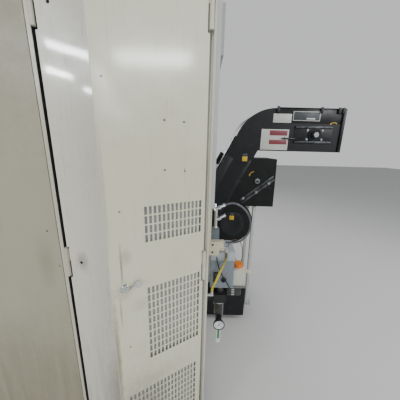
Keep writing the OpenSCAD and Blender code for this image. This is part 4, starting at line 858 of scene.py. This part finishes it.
# The operator's pendant: a dark glass display, a membrane keypad that doesn't move, a yellow
# ring under the stop button and a steel ring under the hand wheel. All are set on the box's
# face and swing with it.
screen_glass = clear_plastic("dark display glass", "#0c1518", 0.06, 0.0, 0.02)
to_operator = (0, -1, 0)
plate("pendant_screen", (1512.5, -1403, 1392.5), (1817.5, -1397.2, 1637.5), screen_glass,
      "pendant", ease=1)
key_grey = machine_paint("grey membrane key", "#aeb3b2", "#9da2a1", 0.45, 0.1, 0.2)
key_dark = machine_paint("dark membrane key", "#3a4147", "#33393e", 0.45, 0.1, 0.2)
keys = {key_grey: [], key_dark: []}
key_size, key_pitch = 21, 27
for row in range(4):
    for column in range(11):
        x = 1521.5 + column * key_pitch
        z = 1246 + row * key_pitch
        kind = key_dark if column > 7 or row == 3 else key_grey
        keys[kind].append(plate(
            f"key_{row}_{column}", (x, -1407.2, z), (x + key_size, -1404.6, z + key_size), kind,
            "pendant",
        ))
joined("grey_keys", keys[key_grey])
joined("dark_keys", keys[key_dark])
turned("stop_ring", (1510, -1404.8, 1170), to_operator, [(30, 0), (30, 1.6), (28.5, 2.2),
       (14, 2.2), (13, 0.4)], yellow_mould, "pendant", 48)
turned("wheel_scale", (1760, -1404.8, 1200), to_operator, [(44, 0), (44, 1), (42, 1.6), (18, 1.6),
       (17, 0.4)], ground, "pendant", 64)

# The conveyor's side strips, head skirts, end flange, top lid and climb lids are steel sheets
# screwed over its body, with nylon clips and grips. Two steel bars with their bolts, and the
# drive shaft's boss and nut, tension the drive inside the guard.
climb_angle = math.radians(63.4)
climb_lean = math.radians(-26.6)
climb_out = Vector((0.894, 0, 0.448))
climb_start = -137.1


def climb_x(z, off):
    """The x of a point of the climb at height z, off below its upper face."""
    along = climb_start + 1 / math.tan(climb_angle) * z + off / math.sin(climb_angle)
    return conveyor_start - along


def climb_strip(name, off, width, z0, z1, y0, y1):
    """A strip along the climb, width across and centred off below the upper face."""
    z = (z0 + z1) / 2
    mid = Vector((climb_x(z, off), (y0 + y1) / 2, z))
    half = Vector((width / 2, (y1 - y0) / 2, (z1 - z0) / 2 / math.cos(climb_lean)))
    plate(name, mid - half, mid + half, charcoal, ease=0.6, turn=climb_lean)


for side, y0, y1 in (("near", side_y, 182.2), ("far", -152.2, -150)):
    climb_strip(f"upper_strip_{side}", 37.5, 74, 415, 1530, y0, y1)
    climb_strip(f"lower_strip_{side}", 208.5, 30, 415, 1500, y0, y1)
    plate(f"head_skirt_{side}", (-1876, y0, 1815), (-1337, y1, 1929.5), charcoal, ease=0.6)
plate("end_flange", (-1899.5, side_y, 1585.5), (-1876, 192, 1929.5), charcoal, ease=1)
plate("head_lid", (-1899.5, -160, 1930.2), (-1340, 190, 1935), charcoal, ease=1, inset=20,
      sink=-1.5)
for i, u in enumerate((1046, 1405, 1551, 1583)):
    x = conveyor_start - u
    plate(f"lid_clip_{i}", (x - 11, side_y, 1896), (x + 11, 195, 1942), black_mould, ease=2)
for i in range(3):
    z = 440 + i * 425 + 205.6
    lid = Vector((climb_x(z, 0), 15, z)) + climb_out * 4.2
    half = Vector((3.8, 145, 230))
    plate(f"climb_lid_{i}", lid - half, lid + half, charcoal, ease=1, turn=climb_lean)
    grip = lid + climb_out * 20
    half = Vector((16, 6, 60))
    plate(f"lid_grip_{i}", grip - half, grip + half, black_mould, ease=5, turn=climb_lean)
bar_steel = plain_metal("blackened strip steel", "#3c3e40", "#6f7173", 0.45)
bar_rise, bar_run = 247, 311
for i in range(2):
    mid = Vector((conveyor_start - 926.5 - i * 17.4, 184, 1252 - i * 21.9))
    half = Vector((178, 3.9, 9.5))
    plate(f"slotted_bar_{i}", mid - half, mid + half, bar_steel, ease=1.2,
          turn=math.atan2(bar_rise, bar_run))


def hex_bolt(name, u, z, y, radius, height):
    """A hexagon head on its washer, facing the doors."""
    place = (conveyor_start - u, y, z)
    turned(f"{name}_washer", place, (0, 1, 0), [(radius * 1.25, 0), (radius * 1.3, height * 0.12),
           (radius * 1.25, height * 0.22)], zinc, sides=28)
    turned(name, place, (0, 1, 0), [(radius, 0), (radius, height * 0.85), (radius * 0.86, height),
           (radius * 0.4, height)], zinc, sides=6, angle=20)


for i, (u, z) in enumerate(((926, 1219), (1031, 1302), (812, 1160))):
    hex_bolt(f"bar_bolt_{i}", u, z, 187.8, 10, 8.5)
turned("guard_shaft_boss", (-1216, 179.5, 1320), (0, 1, 0), [(26, 0), (26, 11), (24, 13),
       (12.5, 13), (12.5, 26), (11, 27.5)], bar_steel, sides=40)
hex_bolt("guard_shaft_nut", 926, 1320, 192.5, 17, 10)

# Two folded returns of cream sheet close the gap on the louvred door's hinge side. They are
# flat strips as high as the door, fixed to the cabinet, so they stay when the door swings.
# Their lighter cream is painted light: it brightens a gap that would lie in shade.
for i, (x, y) in enumerate(((-737, 1212), (-724, 1186))):
    plate(f"hinge_side_return_{i}", (-744.2, y, 190), (x, y + 3, 2100), painted_highlight_cream, ease=0.6)

# The head shaft's take-up is a charcoal plate with two steel rails, a threaded rod that pulls
# the shaft back, and four bolts that clamp it to the conveyor's head.
plate("take_up_plate", (-1809, side_y, 1654), (-1493, 184, 1794), charcoal)
for i, z in enumerate((1656, 1776)):
    plate(f"take_up_rail_{i}", (-1806, 183.8, z), (-1496, 194.5, z + 16), bar_steel, ease=1.2)
turned("take_up_rod", (-1498, 192, 1690), (1, 0, 0), [(5.8, 0), (5.8, 80), (9.5, 80), (9.5, 88),
       (5.8, 88), (5.8, 108), (5, 110)], bar_steel, sides=20)
for i, (u, z) in enumerate(((1311, 1686.4), (1435, 1686.4), (1311, 1761.6), (1435, 1761.6))):
    hex_bolt(f"take_up_bolt_{i}", u, z, 184, 8.5, 8)

# The round housing's cover is a turned disc of charcoal sheet with a raised rim. Two square
# legs on flat feet carry the climb and are painted like the machine's covers.
turned("round_cover", (conveyor_start - 720, 179.5, 905), (0, 1, 0), [(120, 0), (120, 4.5),
       (117, 6), (70, 6), (66, 4)], charcoal, sides=64)
for i, y in enumerate((120, -135)):
    plate(f"leg_{i}", (-1240, y, 8), (-1210, y + 30, 1084.5), cover_grey, ease=3)
    plate(f"leg_foot_{i}", (-1270, y - 25, 0), (-1180, y + 55, 8), cover_grey, ease=1.5, inset=6,
          sink=0.5)


# Motors: finned jackets and fan cowls are turned over the plain motor bodies, and terminal
# boxes sit on their sides. The pump's and the gear motor are blue, the other two black.
def fins(radius, depth, pitch, count):
    """The (radius, height) steps of a jacket whose square fins fill 45 % of their pitch."""
    steps = [(radius, 0)]
    slope = 0.4
    for i in range(count):
        z = i * pitch
        top = z + pitch * 0.45
        steps += [(radius, z), (radius + depth, z + slope), (radius + depth, top),
                  (radius, top + slope)]
    return steps + [(radius, pitch * count)]


turned("pump_motor_jacket", (-1020, 270, 380), (0, 0, 1), fins(75.2, 4, 11, 13), motor_blue,
       sides=48)
turned("pump_motor_cowl", (-1020, 270, 525), (0, 0, 1), [(79.5, 0), (79.5, 28), (70, 33.5),
       (50, 34), (48, 32.5), (18, 32.5)], motor_black, sides=48)
plate("pump_motor_box", (-942, 240, 430), (-905, 300, 490), motor_blue, ease=3)
turned("gear_motor_jacket", (-1560, -217, 1724), (1, 0, 0), fins(65.2, 4.5, 12, 13), motor_blue,
       sides=48)
turned("gear_motor_cowl", (-1395, -217, 1724), (1, 0, 0), [(69, 0), (69, 44), (60, 50.5),
       (42, 51.5), (40, 50), (15, 50)], motor_black, sides=48)
plate("gear_motor_box", (-1530, -252, 1788), (-1440, -182, 1824), motor_blue, ease=3, inset=6,
      sink=1)
for i in range(4):
    low = i * 36
    plate(f"gear_rib_{i}", (-1744, -262.2, 1660 + low), (-1582, -259.6, 1674 + low), motor_blue)
turned("spindle_fan_cowl", (760, -300, 2570), (0, 0, 1), [(101, 0), (104.5, 2), (104.5, 47),
       (96, 49.5), (80, 49.5), (78, 46.5), (30, 46.5)], motor_black, "head_slide", 64)
plate("spindle_motor_box", (880, -345, 2430), (920, -255, 2530), motor_black, "head_slide", ease=4)
for i in range(6):
    low = 2470 + i * 26
    plate(f"column_motor_rib_{i}", (692, 372, low), (828, 508, low + 11), motor_black, ease=1)
for i, across in enumerate((735, 785)):
    turned(f"column_motor_plug_{i}", (across, 508, 2622), (0, 1, 0), [(13, 0), (13, 18),
           (15.5, 18), (15.5, 30), (9, 33)], zinc, sides=28)

# The signal tower stands on a turned foot of black nylon that is screwed to the enclosure's
# roof.
turned("tower_foot", (1680, -1100, 2124.8), (0, 0, 1), [(40, 0), (40, 4), (38, 6), (18, 6),
       (14, 16)], black_mould, sides=40)


# The operator side: black rubber-set window frames, thin dark seams between the pressed panels,
# a toe strip, the hood over the doors' track, and zinc screws. Frames and seams are sheets with
# their middles cut out; the frames slide with the doors.
def ring_plate(name, low, high, width, material, body="machine", ease=0):
    """A flat frame on the machine's front: a sheet whose middle is cut out, then thickened."""
    low, high = Vector(low) / 1000, Vector(high) / 1000
    bpy.ops.mesh.primitive_plane_add(
        size=1, rotation=(math.pi / 2, 0, 0), location=(low + high) / 2
    )
    piece = bpy.context.object
    bpy.ops.object.transform_apply(location=False, rotation=True, scale=False)
    piece.scale = (high.x - low.x, 1, high.z - low.z)
    bpy.ops.object.transform_apply(location=False, rotation=False, scale=True)
    bpy.ops.object.mode_set(mode="EDIT")
    bpy.ops.mesh.select_all(action="SELECT")
    bpy.ops.mesh.inset(thickness=width / 1000)
    bpy.ops.mesh.delete(type="FACE")
    bpy.ops.object.mode_set(mode="OBJECT")
    wall = piece.modifiers.new("thick", "SOLIDIFY")
    wall.thickness = high.y - low.y
    wall.offset = 0
    bpy.ops.object.modifier_apply(modifier=wall.name)
    settled_piece(piece, name, material, body, ease)


seam_black = machine_paint("black panel seam", "#26261f", "#33322c", 0.7, 0.0, 0.1)


def seam(name, x0, x1, z0=200, z1=790):
    """The thin dark line round one of the front's pressed panels."""
    ring_plate(name, (x0, -1250.6, z0), (x1, -1249.9, z1), 2.5, seam_black)


for side, start in (("left", 165), ("right", 761)):
    ring_plate(f"window_frame_{side}", (start + 92, -1287.2, 984), (start + 503, -1283.8, 1716),
               18.5, black_mould, f"door_{side}", 1)
    ring_plate(f"window_rubber_{side}", (start + 108.5, -1285, 1000.5),
               (start + 486.5, -1280, 1699.5), 6, seam_black, f"door_{side}", 0.8)
    seam(f"lower_seam_{side}", start + 30, start + 560)
plate("toe_strip", (-278, -1251.6, 62), (1868, -1249.6, 150), black_mould, ease=0.6)
plate("track_hood", (-230, -1294, 1860), (1770, -1249.8, 1942), cream_enamel, ease=9)
seam("left_seam", -250, 140)
seam("right_seam", 1390, 1850)
seam("lintel_seam", -250, 1850, 1960, 2085)
for i, x in enumerate((-262, 1852)):
    for j, z in enumerate((230, 760, 1980, 2070)):
        turned(f"front_screw_{i}_{j}", (x, -1249.5, z), to_operator, [(6, 0), (6, 1.2), (5.2, 2.2),
               (3.2, 2.2), (2.8, 0.8)], zinc, sides=20)
